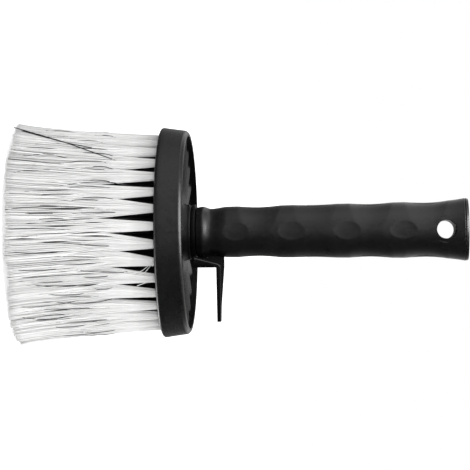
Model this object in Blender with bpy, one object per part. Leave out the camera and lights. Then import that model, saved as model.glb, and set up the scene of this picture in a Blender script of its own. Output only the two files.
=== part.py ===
"""Round masonry brush with a moulded block, a hollow grip and a bucket hook.

Units are metres and +Z is up. The brush stands on its bristle ends: the origin is the centre of
that flat face, the axis of the brush is +Z, and the bucket hook points along +X.
"""

import math

import bmesh
import bpy
from mathutils import Matrix, Vector

# Clearances
SEAT_GAP = 0.0003
POCKET_GAP = 0.0003

# Bristles: rings of tufts, the outer one white, the inner ones black
BRISTLE_LENGTH = 0.0835
TUFT_EDGE = 0.0065
RING_PITCH = 0.0096
TUFT_SPACING = 0.0099
TUFT_FLOOR = 0.0017
TUFT_STAND = 0.0004
TUFT_SIDES = 8
TUFT_BINDING = 0.00008
OUTER_STRANDS = 6
INNER_STRANDS = 3
STRAND_SIDES = 3
STRAND_RADIUS = 0.00072
STRAND_GAP = 0.00016
STRAND_ROOM = 0.0011
STRAND_SINK = 0.0010
SPLAY = 0.114
SPREAD_RADIAL = 0.0030
SPLAY_LINEAR = 0.72
SPLAY_POWER = 6
BEND_AT = 0.7
SLICE_THICKNESS = 0.0037

# Block: the round stock that the tufts are set in
BLOCK_RADIUS = 0.0600
BLOCK_THICKNESS = 0.0154
BLOCK_SIDES = 68
POCKET_SIDES = 44
LIP_HEIGHT = 0.0031
LIP_STEP = 0.0004
LIP_ROUND = 0.0010
WALL_DRAFT = 0.0012
BACK_ROUND = 0.0026
RECESS_RIM = 0.0008
RECESS_WALL = 0.0024
PLEATS = 24
PLEAT_DEPTH = 0.0023
HUB_RADIUS = 0.0152
HUB_HEIGHT = 0.0012
HUB_LEDGE = 0.0006
HUB_FOOT = 0.0028
SOCKET_FLOOR = 0.0030
SCREW_SEAT_DEPTH = 0.0020

# Bucket hook: a ring held between block and handle, an arm, a tongue and a web
RING_RADIUS = 0.0158
RING_THICKNESS = 0.0022
ARM_ROOT_THICKNESS = 0.0050
ARM_END_THICKNESS = 0.0014
HOOK_GAP = 0.0152
TONGUE_REACH = 0.0513
TONGUE_ROOT_THICKNESS = 0.0025
TONGUE_TIP_THICKNESS = 0.0018
TONGUE_ROOT_WIDTH = 0.0170
TONGUE_TIP_WIDTH = 0.0080
WEB_THICKNESS = 0.0024
WEB_PROUD = 0.0017
WEB_REACH = 0.0460
WEB_STEPS = 8

# Handle: a hollow grip with finger dimples, a hanging hole and a closing cap
HANDLE_LENGTH = 0.1526
ROOT_RADIUS = 0.0142
BEAD_AT = 0.0027
BEAD_RADIUS = 0.0147
WAIST_AT = 0.0084
WAIST_RADIUS = 0.0134
GRIP_FROM = 0.0155
GRIP_START_RADIUS = 0.0145
FLARE_LENGTH = 0.0190
GRIP_END_RADIUS = 0.0161
END_RADIUS = 0.0178
HANDLE_SIDES = 32
HANDLE_ROWS = 36
DIMPLES = 4
DIMPLE_COLUMNS = 4
FIRST_DIMPLE = 0.0229
DIMPLE_STAGGER = 0.0130
DIMPLE_HALF_LENGTH = 0.0098
DIMPLE_HALF_WIDTH = 0.0068
DIMPLE_DEPTH = 0.0008
GRIP_WALL = 0.0032
CAVITY_CORNER = 0.0032
PILOT_COVER = 0.0059
SPIGOT_RADIUS = 0.0090
SPIGOT_CHAMFER = 0.0008
HOLE_RADIUS = 0.0055
HOLE_WALL = 0.0022
HOLE_FLARE = 0.0012
HOLE_FLARE_DEPTH = 0.0024
HOLE_SIDES = 20
CAP_DOME = 0.0016
CAP_RIM = 0.0008
CAP_SKIRT = 0.0029
CAP_WALL = 0.0020

# Fixing screw and washer, driven from the bristle side
SCREW_RADIUS = 0.0025
SCREW_LENGTH = 0.0250
SCREW_TIP = 0.0030
SCREW_POINT_RADIUS = 0.0005
SCREW_HEAD_RADIUS = 0.0048
SCREW_HEAD_HEIGHT = 0.0030
SCREW_CROWN = 0.0016
SCREW_SIDES = 20
BORE_SIDES = 24
RECESS_LENGTH = 0.0052
RECESS_WIDTH = 0.0011
RECESS_DEPTH = 0.0016
WASHER_RADIUS = 0.0078
WASHER_THICKNESS = 0.0012

# Levels along the axis, worked out from the sizes above
FACE_Z = BRISTLE_LENGTH
BACK_Z = FACE_Z + BLOCK_THICKNESS
HUB_Z = BACK_Z + HUB_HEIGHT
RING_Z = HUB_Z + SEAT_GAP
RING_TOP_Z = RING_Z + RING_THICKNESS
ROOT_Z = RING_TOP_Z + SEAT_GAP
HANDLE_END_Z = ROOT_Z + HANDLE_LENGTH
POCKET_Z = FACE_Z + SLICE_THICKNESS + POCKET_GAP
SCREW_SEAT_Z = POCKET_Z + SCREW_SEAT_DEPTH
SOCKET_Z = SCREW_SEAT_Z + SOCKET_FLOOR
SPIGOT_END_Z = SOCKET_Z + SEAT_GAP
WASHER_Z = SCREW_SEAT_Z - SEAT_GAP - WASHER_THICKNESS
HEAD_TOP_Z = WASHER_Z - SEAT_GAP

# Places across the axis, worked out in the same way
OUTER_RING_RADIUS = BLOCK_RADIUS - TUFT_EDGE
POCKET_RADIUS = OUTER_RING_RADIUS - RING_PITCH / 2 + POCKET_GAP / 2
INNER_RINGS = int((POCKET_RADIUS - WASHER_RADIUS - POCKET_GAP) / RING_PITCH)
ARM_ROOT = max(BEAD_RADIUS, GRIP_START_RADIUS) + SEAT_GAP
ARM_FACE = ARM_ROOT + ARM_ROOT_THICKNESS
ARM_END = ARM_FACE - ARM_END_THICKNESS

# Levels of the block's back, the hook and the handle's ends
RIDGE_Z = BACK_Z - RECESS_WALL
TUFT_HOLE_Z = RIDGE_Z - PLEAT_DEPTH - TUFT_FLOOR
TONGUE_Z = BACK_Z + HOOK_GAP
HOLE_FROM_END = CAP_SKIRT + SEAT_GAP + HOLE_WALL + HOLE_RADIUS
HOLE_Z = HANDLE_END_Z - HOLE_FROM_END
PILOT_TOP_Z = HEAD_TOP_Z + SCREW_LENGTH + SEAT_GAP
CAVITY_Z = PILOT_TOP_Z + PILOT_COVER
GRIP_TO = HANDLE_LENGTH - FLARE_LENGTH
DIMPLE_PITCH = (GRIP_TO - FIRST_DIMPLE) / (DIMPLES - 0.5)

# Finish of each sub-part: colour, roughness, metallic
FINISHES = {
    "block": ((0.020, 0.020, 0.021, 1.0), 0.45, 0.0),
    "hook": ((0.018, 0.018, 0.019, 1.0), 0.40, 0.0),
    "handle": ((0.018, 0.018, 0.019, 1.0), 0.40, 0.0),
    "end_cap": ((0.018, 0.018, 0.019, 1.0), 0.42, 0.0),
    "white_tufts": ((0.82, 0.82, 0.80, 1.0), 0.40, 0.0),
    "black_tufts": ((0.012, 0.012, 0.012, 1.0), 0.45, 0.0),
    "screw": ((0.62, 0.62, 0.60, 1.0), 0.35, 1.0),
    "washer": ((0.60, 0.60, 0.58, 1.0), 0.40, 1.0),
}


def clear_scene():
    """Empties the scene of whatever it opened with."""
    for obj in list(bpy.data.objects):
        bpy.data.objects.remove(obj)


def material(name):
    """The named material, made on first use."""
    found = bpy.data.materials.get(name)
    if found:
        return found
    made = bpy.data.materials.new(name)
    made.use_nodes = True
    colour, roughness, metallic = FINISHES[name]
    shader = made.node_tree.nodes["Principled BSDF"]
    shader.inputs["Base Color"].default_value = colour
    shader.inputs["Roughness"].default_value = roughness
    shader.inputs["Metallic"].default_value = metallic
    made.diffuse_color = colour
    return made


def add_object(name, mesh, finish, smooth=True):
    """Links a mesh as a named object with its own material."""
    obj = bpy.data.objects.new(name, mesh)
    bpy.context.scene.collection.objects.link(obj)
    if not mesh.materials:
        mesh.materials.append(material(finish))
    if smooth:
        mesh.shade_smooth()
        mesh.set_sharp_from_angle(angle=math.radians(35))
    return obj


def as_helper(obj):
    """Marks an object as a cutter or a piece to be joined, which isn't a part of the brush."""
    obj.hide_render = True
    obj.display_type = "WIRE"
    return obj


def mesh_from(bm, name):
    """Closes a bmesh into a mesh with its normals facing out."""
    bmesh.ops.recalc_face_normals(bm, faces=bm.faces)
    mesh = bpy.data.meshes.new(name)
    bm.to_mesh(mesh)
    bm.free()
    return mesh


def combine(obj, other, operation):
    """Adds a Boolean with a helper object."""
    as_helper(other)
    modifier = obj.modifiers.new(other.name, "BOOLEAN")
    modifier.operation = operation
    modifier.object = other
    modifier.solver = "EXACT"
    return obj


def applied_mesh(obj, name):
    """The mesh of an object with its modifiers applied; the object itself is removed."""
    bpy.context.view_layer.update()
    graph = bpy.context.evaluated_depsgraph_get()
    mesh = bpy.data.meshes.new_from_object(obj.evaluated_get(graph))
    mesh.name = name
    bpy.data.objects.remove(obj)
    return mesh


def circle_points(radius, sides, z, centre=(0.0, 0.0), turn=0.0):
    """Points of a level regular polygon."""
    angles = [turn + 2 * math.pi * i / sides for i in range(sides)]
    return [Vector((centre[0] + radius * math.cos(a), centre[1] + radius * math.sin(a), z)) for a in angles]


def loft(rings, name):
    """A closed mesh through rings of points, all with the same count. The first and last are capped."""
    bm = bmesh.new()
    rows = [[bm.verts.new(point) for point in ring] for ring in rings]
    count = len(rows[0])
    for low, high in zip(rows, rows[1:]):
        for i in range(count):
            j = (i + 1) % count
            bm.faces.new((low[i], low[j], high[j], high[i]))
    bm.faces.new(list(reversed(rows[0])))
    bm.faces.new(rows[-1])
    return mesh_from(bm, name)


def turned(profile, sides, name):
    """A solid turned about Z from (radius, z) points, from its lower axis end to its upper one."""
    return loft([circle_points(radius, sides, z) for radius, z in profile], name)


def close_ring(bm, rows):
    """Joins rows of points, each one closed, into a ring whose last row meets its first."""
    for k, low in enumerate(rows):
        high = rows[(k + 1) % len(rows)]
        for i in range(len(low)):
            j = (i + 1) % len(low)
            bm.faces.new((low[i], low[j], high[j], high[i]))


def turned_ring(profile, sides, name):
    """A ring turned about Z from a closed outline of (radius, z) points."""
    bm = bmesh.new()
    rows = [circle_points(radius, sides, z) for radius, z in profile]
    close_ring(bm, [[bm.verts.new(point) for point in row] for row in rows])
    return mesh_from(bm, name)


def extruded(outline, half_width, name):
    """A plate from an (x, z) outline, standing half_width(x) to each side of the XZ plane."""
    bm = bmesh.new()
    sides = []
    for sign in (-1, 1):
        sides.append([bm.verts.new((x, sign * half_width(x), z)) for x, z in outline])
    count = len(outline)
    for i in range(count):
        j = (i + 1) % count
        bm.faces.new((sides[0][i], sides[0][j], sides[1][j], sides[1][i]))
    bm.faces.new(sides[0])
    bm.faces.new(list(reversed(sides[1])))
    return mesh_from(bm, name)


def arc(centre, radius, start, end, steps):
    """Points (u, v) along an arc, with angles in degrees."""
    angles = [math.radians(start + (end - start) * i / steps) for i in range(steps + 1)]
    return [(centre[0] + radius * math.cos(a), centre[1] + radius * math.sin(a)) for a in angles]


def smooth_step(t):
    """Goes from 0 to 1 with level ends."""
    t = min(max(t, 0.0), 1.0)
    return t * t * (3 - 2 * t)


def ring_radii():
    """Root radius of each ring of tufts, the outer one first."""
    return [OUTER_RING_RADIUS - RING_PITCH * i for i in range(INNER_RINGS + 1)]


def tufts_in(radius):
    """How many tufts a ring of this radius holds at the common spacing."""
    return round(2 * math.pi * radius / TUFT_SPACING)


def splay_at(t):
    """Share of the outward splay that a bristle has at the share t of its length."""
    return SPLAY_LINEAR * t + (1 - SPLAY_LINEAR) * t**SPLAY_POWER


def strand_circle(strands):
    """Radius of the circle on which the strands of a tuft start, clear of each other."""
    return (STRAND_RADIUS + STRAND_GAP / 2) / math.sin(math.pi / strands)


def strand_rings(ring_radius, tuft_angle, strand, strands, levels):
    """Level triangles along one strand of a tuft, from its root in the backing to its cut end."""
    turn = 2 * math.pi * (strand + 0.5) / strands
    circle = strand_circle(strands)
    root = Vector((ring_radius + circle * math.cos(turn), circle * math.sin(turn), 0))
    tip_radius = ring_radius * (1 + SPLAY * ring_radius / OUTER_RING_RADIUS)
    spread_around = math.pi * tip_radius / tufts_in(ring_radius) - STRAND_ROOM
    tip = Vector((tip_radius + SPREAD_RADIAL * math.cos(turn), spread_around * math.sin(turn), 0))
    spin = Matrix.Rotation(tuft_angle, 3, "Z")
    start_z = FACE_Z - TUFT_STAND
    rings = [(0.0, start_z + STRAND_SINK)] + [(t, start_z * (1 - t)) for t in levels]
    return [
        [spin @ point for point in circle_points(STRAND_RADIUS, STRAND_SIDES, z, root.lerp(tip, splay_at(t)))]
        for t, z in rings
    ]


def strands_object(placed, name, finish):
    """All strands of a node as one helper object, from lists of level rings."""
    bm = bmesh.new()
    for rings in placed:
        mesh = loft(rings, name)
        bm.from_mesh(mesh)
        bpy.data.meshes.remove(mesh)
    return add_object(name, mesh_from(bm, name), finish, smooth=False)


def tuft_outline(clearance, z):
    """Points round the root of the white tuft at +X, or round its hole, at a height."""
    flat_radius = strand_circle(OUTER_STRANDS) + STRAND_RADIUS + TUFT_BINDING + clearance
    half_turn = math.pi / TUFT_SIDES
    centre = (OUTER_RING_RADIUS, 0.0)
    return circle_points(flat_radius / math.cos(half_turn), TUFT_SIDES, z, centre, half_turn)


def outer_tuft_mesh():
    """One white tuft: its bound root, set in the block's hole, with its strands fused to the end."""
    root = loft([tuft_outline(0.0, z) for z in (FACE_Z - TUFT_STAND, TUFT_HOLE_Z - SEAT_GAP)], "tuft_root")
    levels = (0.0, BEND_AT, 1.0)
    strands = [strand_rings(OUTER_RING_RADIUS, 0.0, i, OUTER_STRANDS, levels) for i in range(OUTER_STRANDS)]
    tuft = add_object("tuft_master", root, "white_tufts", smooth=False)
    helper = strands_object(strands, "tuft_strands", "white_tufts")
    combine(tuft, helper, "UNION")
    mesh = applied_mesh(tuft, "outer_tuft")
    bpy.data.objects.remove(helper)
    return mesh


def outer_tuft_angles():
    """Where the white tufts stand round the block, the first one on the hook's side."""
    count = tufts_in(OUTER_RING_RADIUS)
    return [2 * math.pi * i / count for i in range(count)]


def make_outer_tufts():
    """The ring of white tufts, each one its own piece."""
    mesh = outer_tuft_mesh()
    for number, angle in enumerate(outer_tuft_angles(), start=1):
        tuft = add_object(f"outer_tuft_{number:02d}", mesh, "white_tufts", smooth=False)
        tuft.rotation_euler.z = angle


def make_inner_ring(index, radius):
    """A ring of black tufts fused to the slice of backing that holds it."""
    count = tufts_in(radius)
    inner = radius - RING_PITCH / 2 + POCKET_GAP / 2
    outer = radius + RING_PITCH / 2 - POCKET_GAP / 2
    low = FACE_Z - TUFT_STAND
    high = FACE_Z + SLICE_THICKNESS
    backing = turned_ring([(inner, low), (outer, low), (outer, high), (inner, high)], 2 * count, "backing")
    slice_object = add_object(f"inner_tufts_ring_{index}", backing, "black_tufts", smooth=False)
    placed = [
        strand_rings(radius, 2 * math.pi * (k + 0.5 * (index % 2)) / count, i, INNER_STRANDS, (1.0,))
        for k in range(count)
        for i in range(INNER_STRANDS)
    ]
    strands = strands_object(placed, f"strands_of_ring_{index}", "black_tufts")
    combine(slice_object, strands, "UNION")


def block_outline():
    """Half section of the block's outside, from the bristle face round the lip and wall to the back."""
    lip_top = FACE_Z + LIP_HEIGHT
    wall = BLOCK_RADIUS - LIP_STEP
    back = wall - WALL_DRAFT
    lip = arc((BLOCK_RADIUS - LIP_ROUND, FACE_Z + LIP_ROUND), LIP_ROUND, -90, 0, 2)
    neck = [(BLOCK_RADIUS, lip_top - LIP_STEP), (wall, lip_top + LIP_STEP)]
    corner = arc((back - BACK_ROUND, BACK_Z - BACK_ROUND), BACK_ROUND, 0, 90, 4)
    hub = [(HUB_RADIUS, BACK_Z), (HUB_RADIUS, HUB_Z)]
    return lip + neck + corner + hub


def recess_cutter():
    """The hollow in the block's back: a plain wall under the rim, a pleated floor and the foot of the hub."""
    rim_radius = BLOCK_RADIUS - LIP_STEP - WALL_DRAFT - BACK_ROUND - RECESS_RIM
    top = BACK_Z + BLOCK_THICKNESS
    valley = RIDGE_Z - PLEAT_DEPTH
    middle = (RIDGE_Z + valley) / 2
    rows = [
        (rim_radius, top, top),
        (rim_radius, RIDGE_Z, valley),
        (HUB_RADIUS + HUB_FOOT, middle, middle),
        (HUB_RADIUS + HUB_LEDGE, BACK_Z, BACK_Z),
        (HUB_RADIUS + HUB_LEDGE, top, top),
    ]
    bm = bmesh.new()
    rings = []
    for radius, on_ridge, in_valley in rows:
        points = circle_points(radius, 2 * PLEATS, on_ridge)
        for point in points[1::2]:
            point.z = in_valley
        rings.append([bm.verts.new(point) for point in points])
    close_ring(bm, rings)
    bmesh.ops.triangulate(bm, faces=bm.faces)
    return add_object("recess_cutter", mesh_from(bm, "recess_cutter"), "block", smooth=False)


def tuft_hole_cutter():
    """Blind holes for the white tufts, each with a gap all round its tuft."""
    bm = bmesh.new()
    for angle in outer_tuft_angles():
        mesh = loft([tuft_outline(SEAT_GAP, z) for z in (0.0, TUFT_HOLE_Z)], "hole")
        mesh.transform(Matrix.Rotation(angle, 4, "Z"))
        bm.from_mesh(mesh)
        bpy.data.meshes.remove(mesh)
    return add_object("tuft_hole_cutter", mesh_from(bm, "tuft_hole_cutter"), "block", smooth=False)


def bore_cutters():
    """Everything cut on the block's axis: slice pocket, washer seat, screw hole and handle socket."""
    clear = BLOCK_THICKNESS
    pocket = turned([(POCKET_RADIUS, FACE_Z - clear), (POCKET_RADIUS, POCKET_Z)], POCKET_SIDES, "pocket")
    seat_radius = WASHER_RADIUS + SEAT_GAP
    hole_radius = SCREW_RADIUS + SEAT_GAP
    socket_radius = SPIGOT_RADIUS + SEAT_GAP
    bore = turned(
        [
            (seat_radius, FACE_Z),
            (seat_radius, SCREW_SEAT_Z),
            (hole_radius, SCREW_SEAT_Z),
            (hole_radius, SOCKET_Z),
            (socket_radius, SOCKET_Z),
            (socket_radius, HUB_Z + clear),
        ],
        BORE_SIDES,
        "bore",
    )
    return [
        add_object("slice_pocket_cutter", pocket, "block", smooth=False),
        add_object("bore_cutter", bore, "block", smooth=False),
    ]


def make_block():
    """The moulded stock."""
    block = add_object("block", turned(block_outline(), BLOCK_SIDES, "block"), "block")
    for cutter in [tuft_hole_cutter(), recess_cutter(), *bore_cutters()]:
        combine(block, cutter, "DIFFERENCE")


def handle_radius(along):
    """Radius of the plain grip at a distance from its root face, before the dimples."""
    stations = [
        (0.0, ROOT_RADIUS),
        (BEAD_AT, BEAD_RADIUS),
        (WAIST_AT, WAIST_RADIUS),
        (GRIP_FROM, GRIP_START_RADIUS),
    ]
    for (a, low), (b, high) in zip(stations, stations[1:]):
        if along <= b:
            return low + (high - low) * smooth_step((along - a) / (b - a))
    if along <= GRIP_TO:
        share = (along - GRIP_FROM) / (GRIP_TO - GRIP_FROM)
        return GRIP_START_RADIUS + (GRIP_END_RADIUS - GRIP_START_RADIUS) * share
    share = (along - GRIP_TO) / FLARE_LENGTH
    return GRIP_END_RADIUS + (END_RADIUS - GRIP_END_RADIUS) * share**2


def dimple_depth(along, angle):
    """How deep the finger dimples cut the grip at a place on it."""
    deepest = 0.0
    for column in range(DIMPLE_COLUMNS):
        facing = -math.pi / 2 + 2 * math.pi * column / DIMPLE_COLUMNS
        around = (angle - facing + math.pi) % (2 * math.pi) - math.pi
        across = around * handle_radius(along) / DIMPLE_HALF_WIDTH
        for k in range(DIMPLES):
            centre = FIRST_DIMPLE + DIMPLE_STAGGER * (column % 2) + DIMPLE_PITCH * k
            lengthways = (along - centre) / DIMPLE_HALF_LENGTH
            reach = across * across + lengthways * lengthways
            deepest = max(deepest, DIMPLE_DEPTH * max(0.0, 1 - reach) ** 1.5)
    return deepest


def handle_rows():
    """Distances from the root face at which the grip has a row of points: close at the bead, then even."""
    step = HANDLE_LENGTH / HANDLE_ROWS
    near = [BEAD_AT * k / 3 for k in range(1, 6)]
    even = [near[-1] + step * k for k in range(1, HANDLE_ROWS)]
    return [0.0] + near + [along for along in even if along < HANDLE_LENGTH - step / 2] + [HANDLE_LENGTH]


def grip_ring(along):
    """Points round the grip at a distance from its root face."""
    step = 2 * math.pi / HANDLE_SIDES
    ring = []
    for i in range(HANDLE_SIDES):
        radius = handle_radius(along) - dimple_depth(along, step * i)
        ring.append(Vector((radius * math.cos(step * i), radius * math.sin(step * i), ROOT_Z + along)))
    return ring


def cavity_radius(along):
    """Radius of the hollow inside the grip."""
    return handle_radius(along) - GRIP_WALL


def handle_rings():
    """All rings of the handle: pilot hole, spigot, grip, open end and hollow."""
    pilot = SCREW_RADIUS + SEAT_GAP
    inside = [
        (pilot, PILOT_TOP_Z),
        (pilot, SPIGOT_END_Z),
        (SPIGOT_RADIUS - SPIGOT_CHAMFER, SPIGOT_END_Z),
        (SPIGOT_RADIUS, SPIGOT_END_Z + SPIGOT_CHAMFER),
        (SPIGOT_RADIUS, ROOT_Z),
    ]
    corner = CAVITY_Z + CAVITY_CORNER - ROOT_Z
    hollow_rows = [HANDLE_LENGTH, HANDLE_LENGTH - CAP_SKIRT, GRIP_TO, corner]
    hollow = [(cavity_radius(along), ROOT_Z + along) for along in hollow_rows]
    hollow.append((cavity_radius(corner) - CAVITY_CORNER, CAVITY_Z))
    rings = [circle_points(radius, HANDLE_SIDES, z) for radius, z in inside]
    rings += [grip_ring(along) for along in handle_rows()]
    rings += [circle_points(radius, HANDLE_SIDES, z) for radius, z in hollow]
    return rings


def along_y(mesh, z):
    """Turns a mesh made about Z so that it lies along Y at a height."""
    mesh.transform(Matrix.Translation((0, 0, z)) @ Matrix.Rotation(math.pi / 2, 4, "X"))
    return mesh


def make_handle():
    """The hollow grip with the tube of its hanging hole."""
    handle = add_object("handle", loft(handle_rings(), "handle"), "handle")
    surface = handle_radius(HANDLE_LENGTH - HOLE_FROM_END)
    tube_end = surface - GRIP_WALL / 2
    tube_radius = HOLE_RADIUS + HOLE_WALL
    tube = turned([(tube_radius, -tube_end), (tube_radius, tube_end)], HOLE_SIDES, "hole_tube")
    flare_from = surface - HOLE_FLARE_DEPTH
    far = 2 * surface
    wide = HOLE_RADIUS + (far - flare_from) * HOLE_FLARE / HOLE_FLARE_DEPTH
    profile = [(wide, -far), (HOLE_RADIUS, -flare_from), (HOLE_RADIUS, flare_from), (wide, far)]
    hole = turned(profile, HOLE_SIDES, "hanging_hole")
    combine(handle, add_object("hole_tube", along_y(tube, HOLE_Z), "handle", smooth=False), "UNION")
    combine(handle, add_object("hanging_hole", along_y(hole, HOLE_Z), "handle", smooth=False), "DIFFERENCE")


def make_end_cap():
    """The slightly domed cap that closes the grip, with a skirt that plugs into the hollow."""
    base = HANDLE_END_Z + SEAT_GAP
    skirt = cavity_radius(HANDLE_LENGTH) - SEAT_GAP
    skirt_tip = skirt - (cavity_radius(HANDLE_LENGTH) - cavity_radius(HANDLE_LENGTH - CAP_SKIRT))
    rim_top = base + CAP_RIM
    inside = skirt_tip - CAP_WALL
    dome = [
        (END_RADIUS * math.cos(math.radians(a)), rim_top + CAP_DOME * math.sin(math.radians(a)))
        for a in (0, 12, 26, 42, 60, 80)
    ]
    profile = [
        (inside, base + SEAT_GAP),
        (inside, HANDLE_END_Z - CAP_SKIRT),
        (skirt_tip, HANDLE_END_Z - CAP_SKIRT),
        (skirt, base),
        (END_RADIUS, base),
        *dome,
    ]
    add_object("end_cap", turned(profile, HANDLE_SIDES, "end_cap"), "end_cap")


def tongue_thickness(x):
    """Thickness of the hook's tongue at a distance from the axis."""
    share = (x - ARM_FACE) / (TONGUE_REACH - ARM_FACE)
    return TONGUE_ROOT_THICKNESS + (TONGUE_TIP_THICKNESS - TONGUE_ROOT_THICKNESS) * share


def hook_half_width(x):
    """Half width of the hook's plate at a distance from the axis."""
    share = min(max((x - ARM_FACE) / (TONGUE_REACH - ARM_FACE), 0.0), 1.0)
    return (TONGUE_ROOT_WIDTH + (TONGUE_TIP_WIDTH - TONGUE_ROOT_WIDTH) * share) / 2


def make_hook():
    """The bucket hook: ring, arm and tongue in one plate, with a web up to the grip."""
    bore = SPIGOT_RADIUS + SEAT_GAP
    outline = [(bore, RING_Z), (RING_RADIUS, RING_Z), (RING_RADIUS, RING_TOP_Z), (bore, RING_TOP_Z)]
    hook = add_object("hook", turned_ring(outline, HANDLE_SIDES, "hook"), "hook")
    corner_z = TONGUE_Z + TONGUE_ROOT_THICKNESS
    plate = [
        (bore + RING_THICKNESS, RING_Z),
        (ARM_FACE, RING_Z),
        (ARM_FACE, TONGUE_Z),
        (TONGUE_REACH, TONGUE_Z),
        (TONGUE_REACH, TONGUE_Z + TONGUE_TIP_THICKNESS),
        (ARM_END + TONGUE_ROOT_THICKNESS / 2, corner_z),
        (ARM_END, corner_z - TONGUE_ROOT_THICKNESS / 4),
        (ARM_ROOT, RING_TOP_Z),
        (bore + RING_THICKNESS, RING_TOP_Z),
    ]
    combine(hook, add_object("hook_plate", extruded(plate, hook_half_width, "hook_plate"), "hook"), "UNION")
    web_top = corner_z + WEB_PROUD
    web_foot = RING_TOP_Z - RING_THICKNESS / 2
    grip_side = []
    for k in range(WEB_STEPS + 1):
        z = web_foot + (web_top - web_foot) * k / WEB_STEPS
        grip_side.append((handle_radius(max(z - ROOT_Z, 0.0)) + SEAT_GAP, z))
    inside = TONGUE_ROOT_THICKNESS / 2
    web = grip_side + [
        (ARM_FACE, web_top),
        (WEB_REACH, TONGUE_Z + tongue_thickness(WEB_REACH)),
        (WEB_REACH, TONGUE_Z + inside),
        (ARM_FACE - inside, TONGUE_Z + inside),
        (ARM_FACE - inside, web_foot),
    ]
    helper = add_object("hook_web", extruded(web, lambda x: WEB_THICKNESS / 2, "hook_web"), "hook")
    combine(hook, helper, "UNION")


def make_screw():
    """The pan-head screw that draws the handle and hook against the block."""
    head_z = HEAD_TOP_Z - SCREW_HEAD_HEIGHT
    crown = [
        (SCREW_HEAD_RADIUS * share, head_z + SCREW_CROWN * (1 - math.sqrt(1 - share * share)))
        for share in (0.25, 0.6, 0.85, 1.0)
    ]
    profile = crown + [
        (SCREW_HEAD_RADIUS, HEAD_TOP_Z),
        (SCREW_RADIUS, HEAD_TOP_Z),
        (SCREW_RADIUS, HEAD_TOP_Z + SCREW_LENGTH - SCREW_TIP),
        (SCREW_POINT_RADIUS, HEAD_TOP_Z + SCREW_LENGTH),
    ]
    screw = add_object("fixing_screw", turned(profile, SCREW_SIDES, "fixing_screw"), "screw")
    bm = bmesh.new()
    for turn in (0.0, math.pi / 2):
        size = Matrix.Diagonal((RECESS_LENGTH, RECESS_WIDTH, 2 * RECESS_DEPTH, 1))
        place = Matrix.Translation((0, 0, head_z)) @ Matrix.Rotation(turn, 4, "Z") @ size
        bmesh.ops.create_cube(bm, size=1.0, matrix=place)
    cutters = add_object("cross_recess", mesh_from(bm, "cross_recess"), "screw", smooth=False)
    combine(screw, cutters, "DIFFERENCE").modifiers[-1].use_self = True


def make_washer():
    """The flat washer under the screw head."""
    bore = SCREW_RADIUS + SEAT_GAP
    top = WASHER_Z + WASHER_THICKNESS
    outline = [(bore, WASHER_Z), (WASHER_RADIUS, WASHER_Z), (WASHER_RADIUS, top), (bore, top)]
    add_object("washer", turned_ring(outline, BORE_SIDES, "washer"), "washer")


def main():
    clear_scene()
    make_block()
    make_outer_tufts()
    for index, radius in enumerate(ring_radii()[1:], start=1):
        make_inner_ring(index, radius)
    make_hook()
    make_handle()
    make_end_cap()
    make_screw()
    make_washer()


main()
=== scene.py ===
"""Looks of a round masonry brush: moulded black plastic, white and black bristles, and a plain studio.

Units are metres and +Z is up. The brush stands on its bristle ends, its axis is +Z and its bucket hook
points along +X. The camera is rolled a quarter turn, so +Z runs to the right of the picture and +X down.
"""
import math

import bmesh
import bpy
import numpy as np
from mathutils import Matrix, Vector


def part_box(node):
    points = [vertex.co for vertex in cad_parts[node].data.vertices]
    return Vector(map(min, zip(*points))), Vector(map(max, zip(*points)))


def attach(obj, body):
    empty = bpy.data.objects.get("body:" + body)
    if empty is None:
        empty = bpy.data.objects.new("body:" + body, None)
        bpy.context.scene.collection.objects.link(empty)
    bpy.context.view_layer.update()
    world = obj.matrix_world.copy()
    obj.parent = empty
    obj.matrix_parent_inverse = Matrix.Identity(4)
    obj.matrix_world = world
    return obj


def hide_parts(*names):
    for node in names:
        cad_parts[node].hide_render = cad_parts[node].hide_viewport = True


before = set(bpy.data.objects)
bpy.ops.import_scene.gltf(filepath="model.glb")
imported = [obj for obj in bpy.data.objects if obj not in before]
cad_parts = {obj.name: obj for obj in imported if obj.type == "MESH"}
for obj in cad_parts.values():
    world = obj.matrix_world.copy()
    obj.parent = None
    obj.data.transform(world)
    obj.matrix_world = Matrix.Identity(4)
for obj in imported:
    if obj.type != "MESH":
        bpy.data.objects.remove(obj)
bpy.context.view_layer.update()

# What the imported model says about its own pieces
BLOCK_LOW, BLOCK_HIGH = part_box("block")
HANDLE_LOW, HANDLE_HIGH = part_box("handle")
CAP_LOW, CAP_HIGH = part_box("end_cap")
HOOK_LOW, HOOK_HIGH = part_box("hook")
WASHER_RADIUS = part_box("washer")[1].x
FACE_Z = BLOCK_LOW.z
HUB_Z = BLOCK_HIGH.z
RING_Z = HOOK_LOW.z
HANDLE_END_Z = HANDLE_HIGH.z
BLOCK_RADIUS = BLOCK_HIGH.x
TONGUE_REACH = HOOK_HIGH.x
END_RADIUS = CAP_HIGH.x
OUTER_TUFTS = sum(name.startswith("outer_tuft_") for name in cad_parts)
INNER_RINGS = sum(name.startswith("inner_tufts_ring_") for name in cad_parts)

# Values that several pieces share
SEAT_GAP = 0.0003
RING_THICKNESS = 0.0022
SHARP_ANGLE = math.radians(40.0)
# Share of a straight line between its ends and the points that keep its shading flat
EVEN_SHARE = 0.06
# The part of a noise field's range that its tones are spread over
FIELD_SPAN = (0.3, 0.7)

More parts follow.
